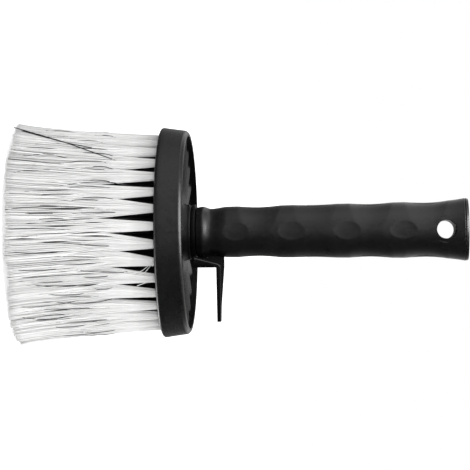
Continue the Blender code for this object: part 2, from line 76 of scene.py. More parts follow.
# Block
BLOCK_SIDES = 480
LIP_HEIGHT = 0.0031
LIP_STEP = 0.0004
LIP_EASE = 0.0012
LIP_ROUND = 0.0014
WALL_DRAFT = 0.0012
BACK_ROUND = 0.0026
RECESS_RIM = 0.0008
RECESS_WALL = 0.0024
RECESS_ROUND = 0.0003
RECESS_MARGIN = 0.0001
RECESS_SHARES = (0.15, 0.5, 0.85)
PLEATS = 24
PLEAT_DEPTH = 0.0023
PLEAT_STEPS = 14
PLEAT_SOFTNESS = 1.2
HUB_RADIUS = 0.0152
HUB_HEIGHT = 0.0012
HUB_LEDGE = 0.0006
HUB_WALL = 0.0011
HUB_FOOT = 0.0014
HUB_ROUND = 0.0004
SOCKET_FLOOR = 0.0030
SCREW_SEAT_DEPTH = 0.0020
SLICE_THICKNESS = 0.0037
SCREW_RADIUS = 0.0025
SEAM_WIDTH = 0.0005
SEAM_HEIGHT = 0.00022
SEAM_AT = math.radians(-92.0)
BACK_Z = HUB_Z - HUB_HEIGHT
POCKET_Z = FACE_Z + SLICE_THICKNESS + SEAT_GAP
SCREW_SEAT_Z = POCKET_Z + SCREW_SEAT_DEPTH
SOCKET_Z = SCREW_SEAT_Z + SOCKET_FLOOR
RIDGE_Z = BACK_Z - RECESS_WALL
VALLEY_Z = RIDGE_Z - PLEAT_DEPTH
RIM_RADIUS = BLOCK_RADIUS - LIP_STEP - WALL_DRAFT - BACK_ROUND - RECESS_RIM

# Tufts
TUFT_EDGE = 0.0065
RING_PITCH = 0.0096
TUFT_SPACING = 0.0099
TUFT_HOLE_RADIUS = 0.0027
TUFT_ROOT_RADIUS = 0.0022
BLACK_ROOT_RADIUS = 0.0036
BACKING_PROUD = 0.0004
# Sides of a slice of backing for each of its tufts
BACKING_SIDES = 4
TUFT_HOLE_SIDES = 24
TUFT_FLOOR = 0.0017
SPLAY = 0.114
SPLAY_LINEAR = 0.72
SPLAY_POWER = 6
SPREAD_RADIAL = 0.0034
BRISTLE_RADIUS = 0.00021
STRAY_RADIUS = 0.00029
WHITE_BRISTLES = 118
WHITE_SIDES = 4
BLACK_BRISTLES = 72
BLACK_SIDES = 3
ROOT_SINK = 0.0024
# Seeds: the gaps of the white tufts, each white tuft, each black ring, and the black bristles that show
GAP_SEED = 7
WHITE_SEED = 100
BLACK_SEED = 500
PEEP_SEED = 31
# The painted shade at the bristles' roots next to the block: how much of their tone is left there, and how
# far down it reaches
ROOT_SHADE = 0.66
ROOT_SHADE_REACH = 0.014
GOLDEN_ANGLE = math.pi * (3 - math.sqrt(5))
# Wisps that the bristles of a tuft gather in: where, for how long, how far, and how blurred their edges are
WISPS = 10
WISP_MIDDLE = (0.30, 0.95)
WISP_REACH = (0.10, 0.30)
WISP_PULL = (0.05, 0.40)
WISP_DEPTH_SHARE = 0.5
WISP_SHIFT = 0.00015
WISP_BLUR = 0.05
WHITE_LEVELS = (1.0, 0.94, 0.88, 0.81, 0.74, 0.67, 0.60, 0.53, 0.46, 0.39, 0.32, 0.25, 0.17, 0.08, 0.0)
BLACK_LEVELS = (1.0, 0.6, 0.25, 0.0)
# Where two neighbouring tufts meet: share of the length below the block, and how far to one side
MEET_SPAN = (0.18, 0.36)
MEET_ASIDE = 0.0009
TIP_ASIDE = 0.0008
# The near side as a share of the turn from +X, and the least part of a gap that shows there
NEAR_TURN = 0.75
LEAST_SHOWN = 0.45
# Where the near tufts meet, from the -X side on: height above the floor, and how far towards +X
NEAR_MEETS = (
    (0.0718, 0.0005), (0.0664, 0.0011), (0.0560, 0.0012), (0.0637, -0.0004),
    (0.0560, 0.0006), (0.0602, -0.0015), (0.0666, -0.0016), (0.0619, -0.0026),
    (0.0645, -0.0020), (0.0617, -0.0026), (0.0708, -0.0020), (0.0726, -0.0013),
)
# How far a tuft spreads past its share of the ring at the tips, and how soon its bristles open and run free
OVERLAP = 0.22
OPENING = 0.3
FREE_POWER = 0.7
# Span of a tuft's first turn, blur of its bristles' order across, and what keeps in_circle from nought
FIRST_TURN = (0, 6)
ORDER_BLUR = (-0.5, 0.5)
ROUND_LEAST = 0.05
# How much the bristles stray, lean and wave where they run free, and how unevenly they end
SIDE_NOISE = 0.00030
DEPTH_NOISE = 0.00025
TUFT_LEAN = 0.0003
WAVE_SPEED = (3.0, 8.0)
SIDE_WAVE = 0.00006
DEPTH_WAVE = 0.00013
TUFT_TIP = 0.0007
BRISTLE_TIP = 0.0009
# Slits that part the bristles of a tuft for a stretch of their length
PARTINGS = (2, 6)
PARTING_PLACE = (0.06, 0.94)
PARTING_MIDDLE = (0.34, 0.93)
PARTING_REACH = (0.06, 0.17)
PARTING_HALF_WIDTH = (0.00030, 0.00070)
PARTING_EASE = 0.0012
# How far above the floor all bristles end, and how soon the trim of the near ones sets in from the sides
TIP_CLEARANCE = 0.0001
TRIM_EASE = 2.5
# How much higher the near bristles end, along X: the cut is a little uneven
TRIM = (
    (-0.0600, 0.0014), (-0.0525, 0.0018), (-0.0450, 0.0005), (-0.0200, 0.0008), (-0.0090, 0.0016),
    (0.0000, 0.0012), (0.0060, 0.0006), (0.0110, 0.0007), (0.0170, 0.0022), (0.0235, 0.0024),
    (0.0300, 0.0006), (0.0440, 0.0000),
)
# How far the skin of the white bristles lies outside their centre lines
ENVELOPE_COVER = 3 * BRISTLE_RADIUS
# Strays: how far they lie over that skin, and how far beside the middle of their ring the root may be
STRAY_STEPS = 14
STRAY_LIFT = 0.0004
STRAY_ROOT_SHARE = 0.97
# Black strays on the near side, as (x, z) points from the tip to where they go under the white bristles
BLACK_STRAYS = [
    [(-0.0610, 0.0011), (-0.0516, 0.0330), (-0.0428, 0.0574)],
    [(-0.0590, 0.0059), (-0.0516, 0.0328), (-0.0492, 0.0443)],
    [(-0.0429, 0.0023), (-0.0404, 0.0255), (-0.0403, 0.0285)],
]
# Black bristles that show for a stretch among the white ones, all round: where they come up, for how long,
# how high at most, how far they lean, and how they lie under the skin of the white ones and sink at the ends
PEEPERS = 130
PEEP_FROM = (0.004, 0.050)
PEEP_REACH = (0.012, 0.036)
PEEP_TOP = 0.058
PEEP_LEAN = 0.035
PEEP_LIFT = (-0.0015, -0.0003)
PEEP_SINK = 0.0010
PEEP_FLATNESS = 0.5
PEEP_STEPS = 11
# Height of their tips as a share of where they come up
PEEP_LOW_END = 0.4
# The darkest of them on the near side, as (x, z) points of their two ends
NEAR_PEEPERS = [
    [(-0.0128, 0.015), (-0.0128, 0.029)],
    [(-0.0082, 0.024), (-0.0096, 0.046)],
    [(-0.0129, 0.042), (-0.0129, 0.062)],
    [(-0.0233, 0.024), (-0.0231, 0.042)],
    [(-0.0157, 0.005), (-0.0168, 0.027)],
    [(0.0186, 0.008), (0.0186, 0.026)],
    [(0.0192, 0.042), (0.0208, 0.066)],
    [(0.0230, 0.006), (0.0208, 0.051)],
    [(0.0276, 0.018), (0.0272, 0.051)],
    [(0.0330, 0.026), (0.0326, 0.043)],
    [(0.0378, 0.030), (0.0372, 0.054)],
    [(0.0412, 0.018), (0.0406, 0.048)],
    [(0.0472, 0.014), (0.0464, 0.031)],
]
NEAR_LIFT = -0.0002
# How a stray goes in under the others
DIVE_DEPTH = 0.0060
DIVE_RISE = 0.0070
# White hairs across the gaps between near tufts, as (x, z) points
WHITE_STRAYS = [
    [(0.0217, 0.0687), (0.0196, 0.0765), (0.0147, 0.0828)],
    [(0.0232, 0.0700), (0.0206, 0.0780), (0.0158, 0.0822)],
    [(0.0280, 0.0732), (0.0247, 0.0822)],
]
TUFT_HOLE_Z = VALLEY_Z - TUFT_FLOOR
OUTER_RING_RADIUS = BLOCK_RADIUS - TUFT_EDGE
POCKET_RADIUS = OUTER_RING_RADIUS - RING_PITCH / 2 + SEAT_GAP / 2

# Handle
HANDLE_SIDES = 216
COLLAR_STEP = 0.0004
GRIP_STEP = 0.0006
HANDLE_TURN = math.radians(-2.4)
ROOT_Z = RING_Z + RING_THICKNESS + SEAT_GAP
HANDLE_LENGTH = HANDLE_END_Z - ROOT_Z
ROOT_RADIUS = 0.0142
ROOT_ROUND = 0.0005
BEAD_AT = 0.0038
BEAD_RADIUS = 0.0147
WAIST_AT = 0.0085
WAIST_RADIUS = 0.0134
COLLAR_SKEW = 0.8
GRIP_FROM = 0.0180
GRIP_START_RADIUS = 0.0145
FLARE_LENGTH = 0.0190
GRIP_END_RADIUS = 0.0161
DIMPLES = 4
DIMPLE_COLUMNS = 4
FIRST_DIMPLE = 0.0229
DIMPLE_STAGGER = 0.0130
# Half length and half width of the dimples that face front and back, of those beside, and of broad dips there
DIMPLE_SIZE = (0.0076, 0.0051)
SIDE_SIZE = (0.0088, 0.0062)
DIP_SIZE = (0.0125, 0.0275)
DIMPLE_DEPTH = 0.00040
DIMPLE_FLATNESS = 1.6
SIDE_DEPTHS = (0.0008, 0.0004, 0.0007, 0.0007)
SIDE_EDGE = 1.3
# The broad dips' depth as a share of the side dimples'
DIP_SHARE = 0.95
DIP_EDGE = 1.2
GRIP_WALL = 0.0032
CAVITY_CORNER = 0.0032
SPIGOT_RADIUS = 0.0090
SPIGOT_CHAMFER = 0.0008
SCREW_DEPTH = 0.0201
PILOT_COVER = 0.0059
HOLE_RADIUS = 0.0052
HOLE_WALL = 0.0025
HOLE_FLARE = 0.0005
HOLE_FLARE_DEPTH = 0.0011
# Where the arc of the hole's lip ends, in degrees, and how the cut widens outside it
HOLE_LIP_TO = 118
HOLE_SPREAD = 0.45
HOLE_SIDES = 72
END_ROUND = 0.0002
CAP_SKIRT = 0.0029
CAP_WALL = 0.0020
CAP_RIM = 0.0013
CAP_TAPER = 0.00046
CAP_EASE = 0.4
CAP_RIM_STEPS = 5
CAP_DOME = 0.0005
CAP_DOME_ANGLES = (8, 16, 26, 36, 46, 56, 66, 76, 84, 88)
GRIP_TO = HANDLE_LENGTH - FLARE_LENGTH
DIMPLE_PITCH = (GRIP_TO - FIRST_DIMPLE) / (DIMPLES - 0.5)
HOLE_Z = HANDLE_END_Z - (CAP_SKIRT + SEAT_GAP + HOLE_WALL + HOLE_RADIUS)
SPIGOT_END_Z = HANDLE_LOW.z
PILOT_TOP_Z = SPIGOT_END_Z + SCREW_DEPTH
CAVITY_Z = PILOT_TOP_Z + PILOT_COVER
# Stations (height, radius) of the collar's outline above the root face
COLLAR = (
    (0.0, ROOT_RADIUS),
    (BEAD_AT, BEAD_RADIUS),
    (WAIST_AT, WAIST_RADIUS),
    (GRIP_FROM, GRIP_START_RADIUS),
)

# Bucket hook
HOOK_SIDES = 96
RING_RADIUS = 0.0158
ARM_ROOT_THICKNESS = 0.0050
ARM_END_THICKNESS = 0.0016
HOOK_GAP = 0.0152
TONGUE_ROOT_THICKNESS = 0.0025
TONGUE_TIP_THICKNESS = 0.0020
TONGUE_ROOT_WIDTH = 0.0170
TONGUE_TIP_WIDTH = 0.0080
WEB_THICKNESS = 0.0024
WEB_PROUD = 0.0017
WEB_REACH = 0.0460
WEB_STEPS = 60
WEB_GAP = 0.00001
HOOK_BEVEL = 0.00050
BEVEL_SEGMENTS = 3
ARM_BEAD_RADIUS = 0.00036
ARM_BEAD_SINK = ARM_BEAD_RADIUS / 3
ARM_BEAD_SIDES = 10
ARM_BEAD_STEPS = 14
ARM_BEAD_SEED = 96
# The beads' first point from the arm's root, and their bend from the arm's outer corner, as (x, z)
ARM_BEAD_START = (-0.0003, -0.0010)
ARM_BEAD_BEND = ((-0.0004, -0.0022), (0.0, -0.0006), (0.0016, -0.0004))
RING_TOP_Z = RING_Z + RING_THICKNESS
TONGUE_Z = BACK_Z + HOOK_GAP
CORNER_Z = TONGUE_Z + TONGUE_ROOT_THICKNESS
ARM_ROOT = max(BEAD_RADIUS, GRIP_START_RADIUS) + SEAT_GAP
ARM_FACE = ARM_ROOT + ARM_ROOT_THICKNESS
ARM_END = ARM_FACE - ARM_END_THICKNESS

# Looks of the plastics: darkest and lightest tone, roughness, specular level and strength of the grain
PLASTICS = {
    "block_plastic": ((0.0026, 0.0026, 0.0027), (0.0048, 0.0048, 0.0050), 0.30, 0.18, 0.30),
    # The recess: a darker copy of the block's plastic with weaker reflection, as painted shade in the hollow
    "recess_shaded_plastic": ((0.0022, 0.0022, 0.0023), (0.0040, 0.0040, 0.0042), 0.24, 0.14, 0.20),
    "grip_plastic": ((0.0013, 0.0013, 0.0014), (0.0026, 0.0026, 0.0027), 0.32, 0.26, 0.20),
    "dimple_plastic": ((0.0015, 0.0015, 0.0016), (0.0028, 0.0028, 0.0029), 0.46, 0.165, 0.30),
    "hook_plastic": ((0.0008, 0.0008, 0.0009), (0.0018, 0.0018, 0.0019), 0.30, 0.085, 0.18),
    # The arm's beads: a far lighter and more reflective plastic than the hook, as a painted highlight along
    # its edges
    "hook_edge_highlight_plastic": ((0.026, 0.026, 0.026), (0.038, 0.038, 0.038), 0.34, 0.40, 0.10),
}
# Their noise fields, as scale and detail, and how far these move the roughness and the surface
TONE_CLOUDS = (130.0, 5.0)
GLOSS_PATCHES = (420.0, 4.0)
GLOSS_SPREAD = 0.05
FLOW_WAVES = (160.0, 3.0)
FLOW_STRENGTH = 0.25
FLOW_HEIGHT = 0.0002
GRAIN = (5200.0, 3.0)
GRAIN_HEIGHT = 0.00004
# Looks of the bristles: darkest and lightest tone, roughness and specular level
BRISTLES = {
    "white_bristle": ((0.84, 0.84, 0.835), (0.93, 0.93, 0.925), 0.45, 0.25),
    "black_bristle": ((0.005, 0.005, 0.005), (0.010, 0.010, 0.010), 0.50, 0.25),
}
# Their noise fields, as scale, detail and stretch: fine across the bristles and long along them
BRISTLE_TONES = (1.0, 2.0, (2400.0, 2400.0, 14.0))
BRISTLE_GLOSS = (1.0, 2.0, (1500.0, 1500.0, 60.0))
BRISTLE_GLOSS_SPREAD = 0.06
# Zinc plating: stains, and marks that run round it
ZINC_TONES = ((0.50, 0.50, 0.47), (0.66, 0.66, 0.63))
ZINC_STAINS = (700.0, 4.0)
ZINC_MARKS = (1.0, 3.0, (900.0, 900.0, 9000.0))
ZINC_ROUGHNESS = (0.28, 0.42)
ZINC_MARK_STRENGTH = 0.3
ZINC_MARK_HEIGHT = 0.00003

# Camera: it looks along +Y, turned a little towards the handle
CAMERA_YAW = math.radians(3.557)
CAMERA_PITCH = math.radians(-1.51)
CAMERA_ROLL = math.radians(-0.724)
CAMERA_DISTANCE = 1.20
CAMERA_AIM = Vector((0.00181, 0.0, 0.1246))
FOCAL_PIXELS = 2096
PICTURE_PIXELS = 470
SENSOR_WIDTH = 36.0

# Studio
FLOOR_RADIUS = 6.0
FLOOR_SIDES = 96
FLOOR_DROP = 0.0002
FLOOR_COLOUR = 0.88
FLOOR_GLOW = 0.75
AMBIENT = 0.88
# Round card that shows only in the gloss, with greys by the angle in degrees from the camera towards +X
WRAP_RADIUS = 0.90
WRAP_HEIGHT = 1.10
WRAP_SIDES = 72
WRAP_ROWS = 22
WRAP_GREYS = (
    (-180, 0.06), (-163, 0.45), (-140, 0.25), (-114, 0.35), (-90, 1.00), (-73, 1.30), (-58, 1.30),
    (-43, 1.10), (-30, 0.80), (-16, 0.65), (-3, 0.65), (10, 0.50), (23, 0.20), (36, 0.08),
    (50, 0.03), (90, 0.02), (123, 0.11), (145, 0.20), (163, 0.45), (180, 0.06),
)
# How the greys grow with height, and soft patches on top: angle, half width, height, half height, radiance
WRAP_RISE = ((0.00, 0.90), (0.05, 0.92), (0.12, 1.10), (0.30, 1.90), (1.10, 1.90))
WRAP_PATCHES = (
    (-125, 35, 0.33, 0.12, 1.3),
    (130, 35, 0.33, 0.12, 1.0),
    (-22, 44, 0.90, 0.14, 7.8),
    (-68, 20, 0.20, 0.12, 0.6),
    (55, 20, 0.00, 0.07, 0.15),
    (60, 45, 0.24, 0.15, 0.13),
)
# The same on the floor: its grey, and soft patches by angle, half width, radius, half breadth and radiance
APRON_INNER = 0.066
APRON_OUTER = 0.88
APRON_ROWS = 24
APRON_HEIGHT = 0.0008
APRON_GREY = 0.20
APRON_PATCHES = (
    (65, 60, 0.125, 0.045, 16.0),
    (-5, 45, 0.300, 0.100, 1.1),
)
# Softbox that shows only in the gloss, and a lamp for the matt surfaces alone: place, aim, width and height
OVERHEAD = ((-0.25, -0.45, 1.05), (0.0, -0.05, 0.10), 0.80, 1.60)
OVERHEAD_RADIANCE = 20.5
FILL = ((0.10, -1.6, 0.25), (0.0, 0.0, 0.06), 0.9, 0.9)
FILL_POWER = 16.0


def placed(name, data):
    """A new object with this data, in the scene."""
    obj = bpy.data.objects.new(name, data)
    bpy.context.scene.collection.objects.link(obj)
    return obj


def mesh_from(bm, name, turn_out=True):
    """Turns a bmesh into a mesh, if asked with its faces turned to point out."""
    if turn_out:
        bmesh.ops.recalc_face_normals(bm, faces=bm.faces)
    mesh = bpy.data.meshes.new(name)
    bm.to_mesh(mesh)
    bm.free()
    return mesh


def rows_mesh(name, rows, ring=False):
    """A closed mesh through rows of points, each row closed; a ring's last row meets its first."""
    rows = np.asarray(rows, dtype=float)
    count, sides, _ = rows.shape
    bm = bmesh.new()
    verts = [[bm.verts.new(point) for point in row] for row in rows]
    for k in range(count if ring else count - 1):
        low, high = verts[k], verts[(k + 1) % count]
        for i in range(sides):
            j = (i + 1) % sides
            bm.faces.new((low[i], low[j], high[j], high[i]))
    if not ring:
        bm.faces.new(verts[0][::-1])
        bm.faces.new(verts[-1])
    return mesh_from(bm, name)


def turn_angles(sides):
    """Even angles round a whole turn."""
    return np.arange(sides) * 2 * math.pi / sides


def circle(radius, z, sides):
    """Points of a level circle; radius and z may change round it."""
    angles = turn_angles(sides)
    return np.stack([radius * np.cos(angles), radius * np.sin(angles), z + 0 * angles], 1)


def circles(profile, sides):
    """Level circles through (radius, z) points."""
    return [circle(radius, z, sides) for radius, z in profile]


def turned(name, profile, sides, ring=False):
    """A solid turned about Z from (radius, z) points."""
    return rows_mesh(name, circles(profile, sides), ring)


def arc(centre, radius, start, end, steps):
    """Points (u, v) along an arc, with angles in degrees."""
    angles = [math.radians(start + (end - start) * i / steps) for i in range(steps + 1)]
    return [(centre[0] + radius * math.cos(a), centre[1] + radius * math.sin(a)) for a in angles]


def even_steps(ends):
    """A straight line between two points with one more point close to each end, to keep its shading flat."""
    first, last = (np.array(end) for end in ends)
    return [tuple(first + (last - first) * share) for share in (0.0, EVEN_SHARE, 1 - EVEN_SHARE, 1.0)]


def piece(name, mesh, material, node):
    """A piece of the brush: it rides on the part, takes the given material and stands for its node."""
    obj = placed(name, mesh)
    mesh.materials.clear()
    mesh.materials.append(material)
    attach(obj, "root")
    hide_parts(node)
    return obj


def smoothed(mesh):
    """A mesh with smooth shading between its sharp edges."""
    mesh.shade_smooth()
    mesh.set_sharp_from_angle(angle=SHARP_ANGLE)
    return mesh


def applied(target):
    """The mesh that an object's modifiers make of it, in place of the object."""
    bpy.context.view_layer.update()
    graph = bpy.context.evaluated_depsgraph_get()
    result = bpy.data.meshes.new_from_object(target.evaluated_get(graph))
    bpy.data.objects.remove(target)
    return result


def boolean(mesh, steps):
    """A mesh after Booleans with other meshes: a list of (operation, mesh)."""
    target = placed("target", mesh)
    helpers = []
    for operation, other in steps:
        helpers.append(placed("helper", other))
        modifier = target.modifiers.new("cut", "BOOLEAN")
        modifier.operation = operation
        modifier.object = helpers[-1]
        modifier.solver = "EXACT"
    result = applied(target)
    for helper in helpers:
        bpy.data.objects.remove(helper)
    return result


def bevelled(mesh, width):
    """A mesh with its sharp edges rounded."""
    target = placed("target", mesh)
    modifier = target.modifiers.new("round", "BEVEL")
    modifier.width = width
    modifier.segments = BEVEL_SEGMENTS
    modifier.limit_method = "ANGLE"
    modifier.angle_limit = SHARP_ANGLE
    modifier.miter_outer = "MITER_ARC"
    return applied(target)


class Nodes:
    """Short hand for building the nodes of a material or of the world."""

    def __init__(self, owner, empty=False):
        owner.use_nodes = True
        self.owner = owner
        self.tree = owner.node_tree
        if empty:
            self.tree.nodes.clear()

    def fill(self, node, inputs):
        """Gives a node's inputs their values, or joins them to outputs."""
        for key, value in inputs.items():
            if isinstance(value, bpy.types.NodeSocket):
                self.tree.links.new(value, node.inputs[key])
            else:
                node.inputs[key].default_value = value
        return node

    def add(self, kind, inputs=None, **values):
        """A node with its properties and its inputs set."""
        node = self.tree.nodes.new(kind)
        for key, value in values.items():
            setattr(node, key, value)
        return self.fill(node, inputs or {})

    def coordinates(self, scale):
        """Object coordinates stretched by a scale."""
        place = self.add("ShaderNodeTexCoord").outputs["Object"]
        return self.add("ShaderNodeMapping", {"Vector": place, "Scale": scale}).outputs["Vector"]

    def noise(self, scale, detail, stretch=(1.0, 1.0, 1.0)):
        """A noise field over object coordinates."""
        inputs = {"Vector": self.coordinates(stretch), "Scale": scale, "Detail": detail}
        return self.add("ShaderNodeTexNoise", inputs).outputs["Fac"]

    def ramp(self, source, low, high):
        """Spreads a field between two colours."""
        node = self.add("ShaderNodeValToRGB", {"Fac": source})
        for stop, position, colour in zip(node.color_ramp.elements, FIELD_SPAN, (low, high)):
            stop.position = position
            stop.color = (*colour, 1.0)
        return node.outputs["Color"]

    def ranged(self, source, low, high, span=FIELD_SPAN):
        """Spreads a field's span between two numbers."""
        ends = {"From Min": span[0], "From Max": span[1], "To Min": low, "To Max": high}
        return self.add("ShaderNodeMapRange", {"Value": source, **ends}).outputs["Result"]

    def bump(self, source, strength, distance, under=None):
        """Bump from a field, on top of another bump if one is given."""
        inputs = {"Height": source, "Strength": strength, "Distance": distance}
        if under:
            inputs["Normal"] = under
        return self.add("ShaderNodeBump", inputs).outputs["Normal"]

    def principled(self, inputs):
        """The material after the inputs of its own shader are set."""
        self.fill(self.tree.nodes["Principled BSDF"], inputs)
        return self.owner

    def seen_rays(self):
        """1 for rays from the camera, in gloss or through something clear, and 0 for the rest."""
        rays = self.add("ShaderNodeLightPath").outputs
        seen = rays["Is Camera Ray"]
        for kind in ("Is Glossy Ray", "Is Transmission Ray"):
            inputs = {0: seen, 1: rays[kind]}
            seen = self.add("ShaderNodeMath", inputs, operation="ADD", use_clamp=True).outputs[0]
        return seen


def plastic(name):
    """Black moulded plastic: cloudy tone, a fine spark-eroded grain and slight flow waves."""
    dark, light, roughness, specular, grain = PLASTICS[name]
    nodes = Nodes(bpy.data.materials.new(name))
    waves = nodes.bump(nodes.noise(*FLOW_WAVES), FLOW_STRENGTH, FLOW_HEIGHT)
    patches = nodes.noise(*GLOSS_PATCHES)
    return nodes.principled({
        "Base Color": nodes.ramp(nodes.noise(*TONE_CLOUDS), dark, light),
        "Roughness": nodes.ranged(patches, roughness - GLOSS_SPREAD, roughness + GLOSS_SPREAD),
        "Specular IOR Level": specular,
        "Normal": nodes.bump(nodes.noise(*GRAIN), grain, GRAIN_HEIGHT, waves),
    })


def bristle(name):
    """Drawn plastic bristle: a tone of its own for each, nearly even along its length, with painted shade
    darkening it towards its root at the block.
    """
    dark, light, roughness, specular = BRISTLES[name]
    nodes = Nodes(bpy.data.materials.new(name))
    tone = nodes.ramp(nodes.noise(*BRISTLE_TONES), dark, light)
    place = nodes.add("ShaderNodeSeparateXYZ", {"Vector": nodes.coordinates((1.0, 1.0, 1.0))})
    # Painted shade: the tone darkens towards the block face, down to ROOT_SHADE of itself at the roots
    painted_root_shade = nodes.ranged(place.outputs["Z"], 1.0, ROOT_SHADE, (FACE_Z - ROOT_SHADE_REACH, FACE_Z))
    root_shaded_tone = nodes.add("ShaderNodeVectorMath", {0: tone, "Scale": painted_root_shade}, operation="SCALE")
    dull = nodes.noise(*BRISTLE_GLOSS)
    return nodes.principled({
        "Base Color": root_shaded_tone.outputs["Vector"],
        "Roughness": nodes.ranged(dull, roughness - BRISTLE_GLOSS_SPREAD, roughness + BRISTLE_GLOSS_SPREAD),
        "Specular IOR Level": specular,
    })


def zinc(name):
    """Zinc-plated steel with turning marks and faint stains."""
    nodes = Nodes(bpy.data.materials.new(name))
    marks = nodes.noise(*ZINC_MARKS)
    return nodes.principled({
        "Metallic": 1.0,
        "Base Color": nodes.ramp(nodes.noise(*ZINC_STAINS), *ZINC_TONES),
        "Roughness": nodes.ranged(marks, *ZINC_ROUGHNESS),
        "Normal": nodes.bump(marks, ZINC_MARK_STRENGTH, ZINC_MARK_HEIGHT),
    })


def block_profile():
    """Half section of the block, from the pocket through the bore and over the hub to its foot."""
    seat_radius = WASHER_RADIUS + SEAT_GAP
    hole_radius = SCREW_RADIUS + SEAT_GAP
    socket_radius = SPIGOT_RADIUS + SEAT_GAP
    bore = [
        (POCKET_RADIUS, FACE_Z),
        (POCKET_RADIUS, POCKET_Z),
        (seat_radius, POCKET_Z),
        (seat_radius, SCREW_SEAT_Z),
        (hole_radius, SCREW_SEAT_Z),
        (hole_radius, SOCKET_Z),
        (socket_radius, SOCKET_Z),
        (socket_radius, HUB_Z),
    ]
    hub = arc((HUB_RADIUS - HUB_ROUND, HUB_Z - HUB_ROUND), HUB_ROUND, 90, 0, 3)
    ledge = HUB_RADIUS + HUB_LEDGE
    return bore + hub + [(HUB_RADIUS, BACK_Z), (ledge, BACK_Z), (ledge, BACK_Z - HUB_WALL)]


def pleat_wave():
    """Goes round the block from 0 on each ridge of the pleats to 1 in each valley."""
    turn = np.arange(BLOCK_SIDES) / BLOCK_SIDES * PLEATS
    share = np.abs((turn % 1.0) - 0.5) * 2
    return np.sin((1 - share) * math.pi / 2) ** PLEAT_SOFTNESS


def seam_lift():
    """How far the parting line of the mould stands out, round the block."""
    half_turn = (turn_angles(BLOCK_SIDES) - SEAM_AT + math.pi / 2) % math.pi - math.pi / 2
    return SEAM_HEIGHT * np.clip(1 - np.abs(half_turn) * BLOCK_RADIUS / SEAM_WIDTH, 0, 1)


def block_mesh():
    """The moulded stock, with a pleated back and holes for the white tufts."""
    wave = pleat_wave()
    rows = circles(block_profile(), BLOCK_SIDES)
    foot = HUB_RADIUS + HUB_FOOT
    middle = (RIDGE_Z + VALLEY_Z) / 2
    for k in range(PLEAT_STEPS + 1):
        share = k / PLEAT_STEPS
        level = middle + (RIDGE_Z - middle) * share - PLEAT_DEPTH * share * wave
        rows.append(circle(foot + (RIM_RADIUS - foot) * share, level, BLOCK_SIDES))
    low = RIDGE_Z - PLEAT_DEPTH * wave
    rows += [circle(RIM_RADIUS, low + (BACK_Z - low) * share, BLOCK_SIDES) for share in RECESS_SHARES]
    wall = BLOCK_RADIUS - LIP_STEP
    back = wall - WALL_DRAFT
    lip_top = FACE_Z + LIP_HEIGHT
    rim = arc((RIM_RADIUS + RECESS_ROUND, BACK_Z - RECESS_ROUND), RECESS_ROUND, 180, 90, 2)
    corner = arc((back - BACK_ROUND, BACK_Z - BACK_ROUND), BACK_ROUND, 90, 0, 10)
    lip = arc((BLOCK_RADIUS - LIP_ROUND, FACE_Z + LIP_ROUND), LIP_ROUND, 0, -90, 5)
    side = even_steps([corner[-1], (wall, lip_top + LIP_EASE)])[1:]
    edge = even_steps([(BLOCK_RADIUS, lip_top - LIP_EASE), lip[0]])[:-1]
    seam = seam_lift()
    rows += circles(rim, BLOCK_SIDES)
    rows += [circle(radius + seam, z, BLOCK_SIDES) for radius, z in corner + side + edge + lip]
    holes = bmesh.new()
    for angle in turn_angles(OUTER_TUFTS):
        hole = turned("hole", [(TUFT_HOLE_RADIUS, z) for z in (FACE_Z / 2, TUFT_HOLE_Z)], TUFT_HOLE_SIDES)
        hole.transform(Matrix.Rotation(angle, 4, "Z") @ Matrix.Translation((OUTER_RING_RADIUS, 0, 0)))
        holes.from_mesh(hole)
        bpy.data.meshes.remove(hole)
    block = rows_mesh("block_shell", rows, ring=True)
    return boolean(block, [("DIFFERENCE", mesh_from(holes, "holes"))])


def handle_radius(along):
    """Radius of the plain grip at a distance from its root face, before the dimples."""
    for (a, low), (b, high) in zip(COLLAR, COLLAR[1:]):
        if along <= b:
            share = ((along - a) / (b - a)) ** (COLLAR_SKEW if a == BEAD_AT else 1)
            return low + (high - low) * (share * share * (3 - 2 * share))
    if along <= GRIP_TO:
        share = (along - GRIP_FROM) / (GRIP_TO - GRIP_FROM)
        return GRIP_START_RADIUS + (GRIP_END_RADIUS - GRIP_START_RADIUS) * share
    share = (along - GRIP_TO) / FLARE_LENGTH
    return GRIP_END_RADIUS + (END_RADIUS - GRIP_END_RADIUS) * share**2


def oval_reach(along, angles, facing, centre, size):
    """How far points of one row of the grip lie from the middle of an oval on it, 1 at its rim."""
    half_length, half_width = size
    around = (angles - facing + math.pi) % (2 * math.pi) - math.pi
    across = around * handle_radius(along) / half_width
    return across**2 + ((along - centre) / half_length) ** 2


def dimple_places():
    """Each finger dimple: if it is beside, its number up the grip, where it faces and where its middle is."""
    for column in range(DIMPLE_COLUMNS):
        beside = column % 2
        facing = HANDLE_TURN - math.pi / 2 + 2 * math.pi * column / DIMPLE_COLUMNS
        for k in range(DIMPLES):
            yield beside, k, facing, FIRST_DIMPLE + DIMPLE_STAGGER * beside + DIMPLE_PITCH * k


def dimple_depth(along, angles):
    """How deep the finger dimples and the dips under the side ones cut the grip round one row of it."""
    deepest = np.zeros_like(angles)
    for beside, k, facing, centre in dimple_places():
        reach = oval_reach(along, angles, facing, centre, SIDE_SIZE if beside else DIMPLE_SIZE)
        if beside:
            dip = oval_reach(along, angles, facing, centre, DIP_SIZE)
            dip_depth = DIP_SHARE * SIDE_DEPTHS[k] * np.clip(1 - dip, 0, 1) ** DIP_EDGE
            depth = np.maximum(dip_depth, SIDE_DEPTHS[k] * np.clip(1 - reach, 0, 1) ** SIDE_EDGE)
        else:
            depth = DIMPLE_DEPTH * np.clip(1 - reach**DIMPLE_FLATNESS, 0, 1)
        deepest = np.maximum(deepest, depth)
    return deepest


def corner_steps(size, angles):
    """Inset and rise of the points of a round corner at these angles in degrees."""
    return [(size * (1 - math.cos(a)), size * (1 - math.sin(a))) for a in map(math.radians, angles)]


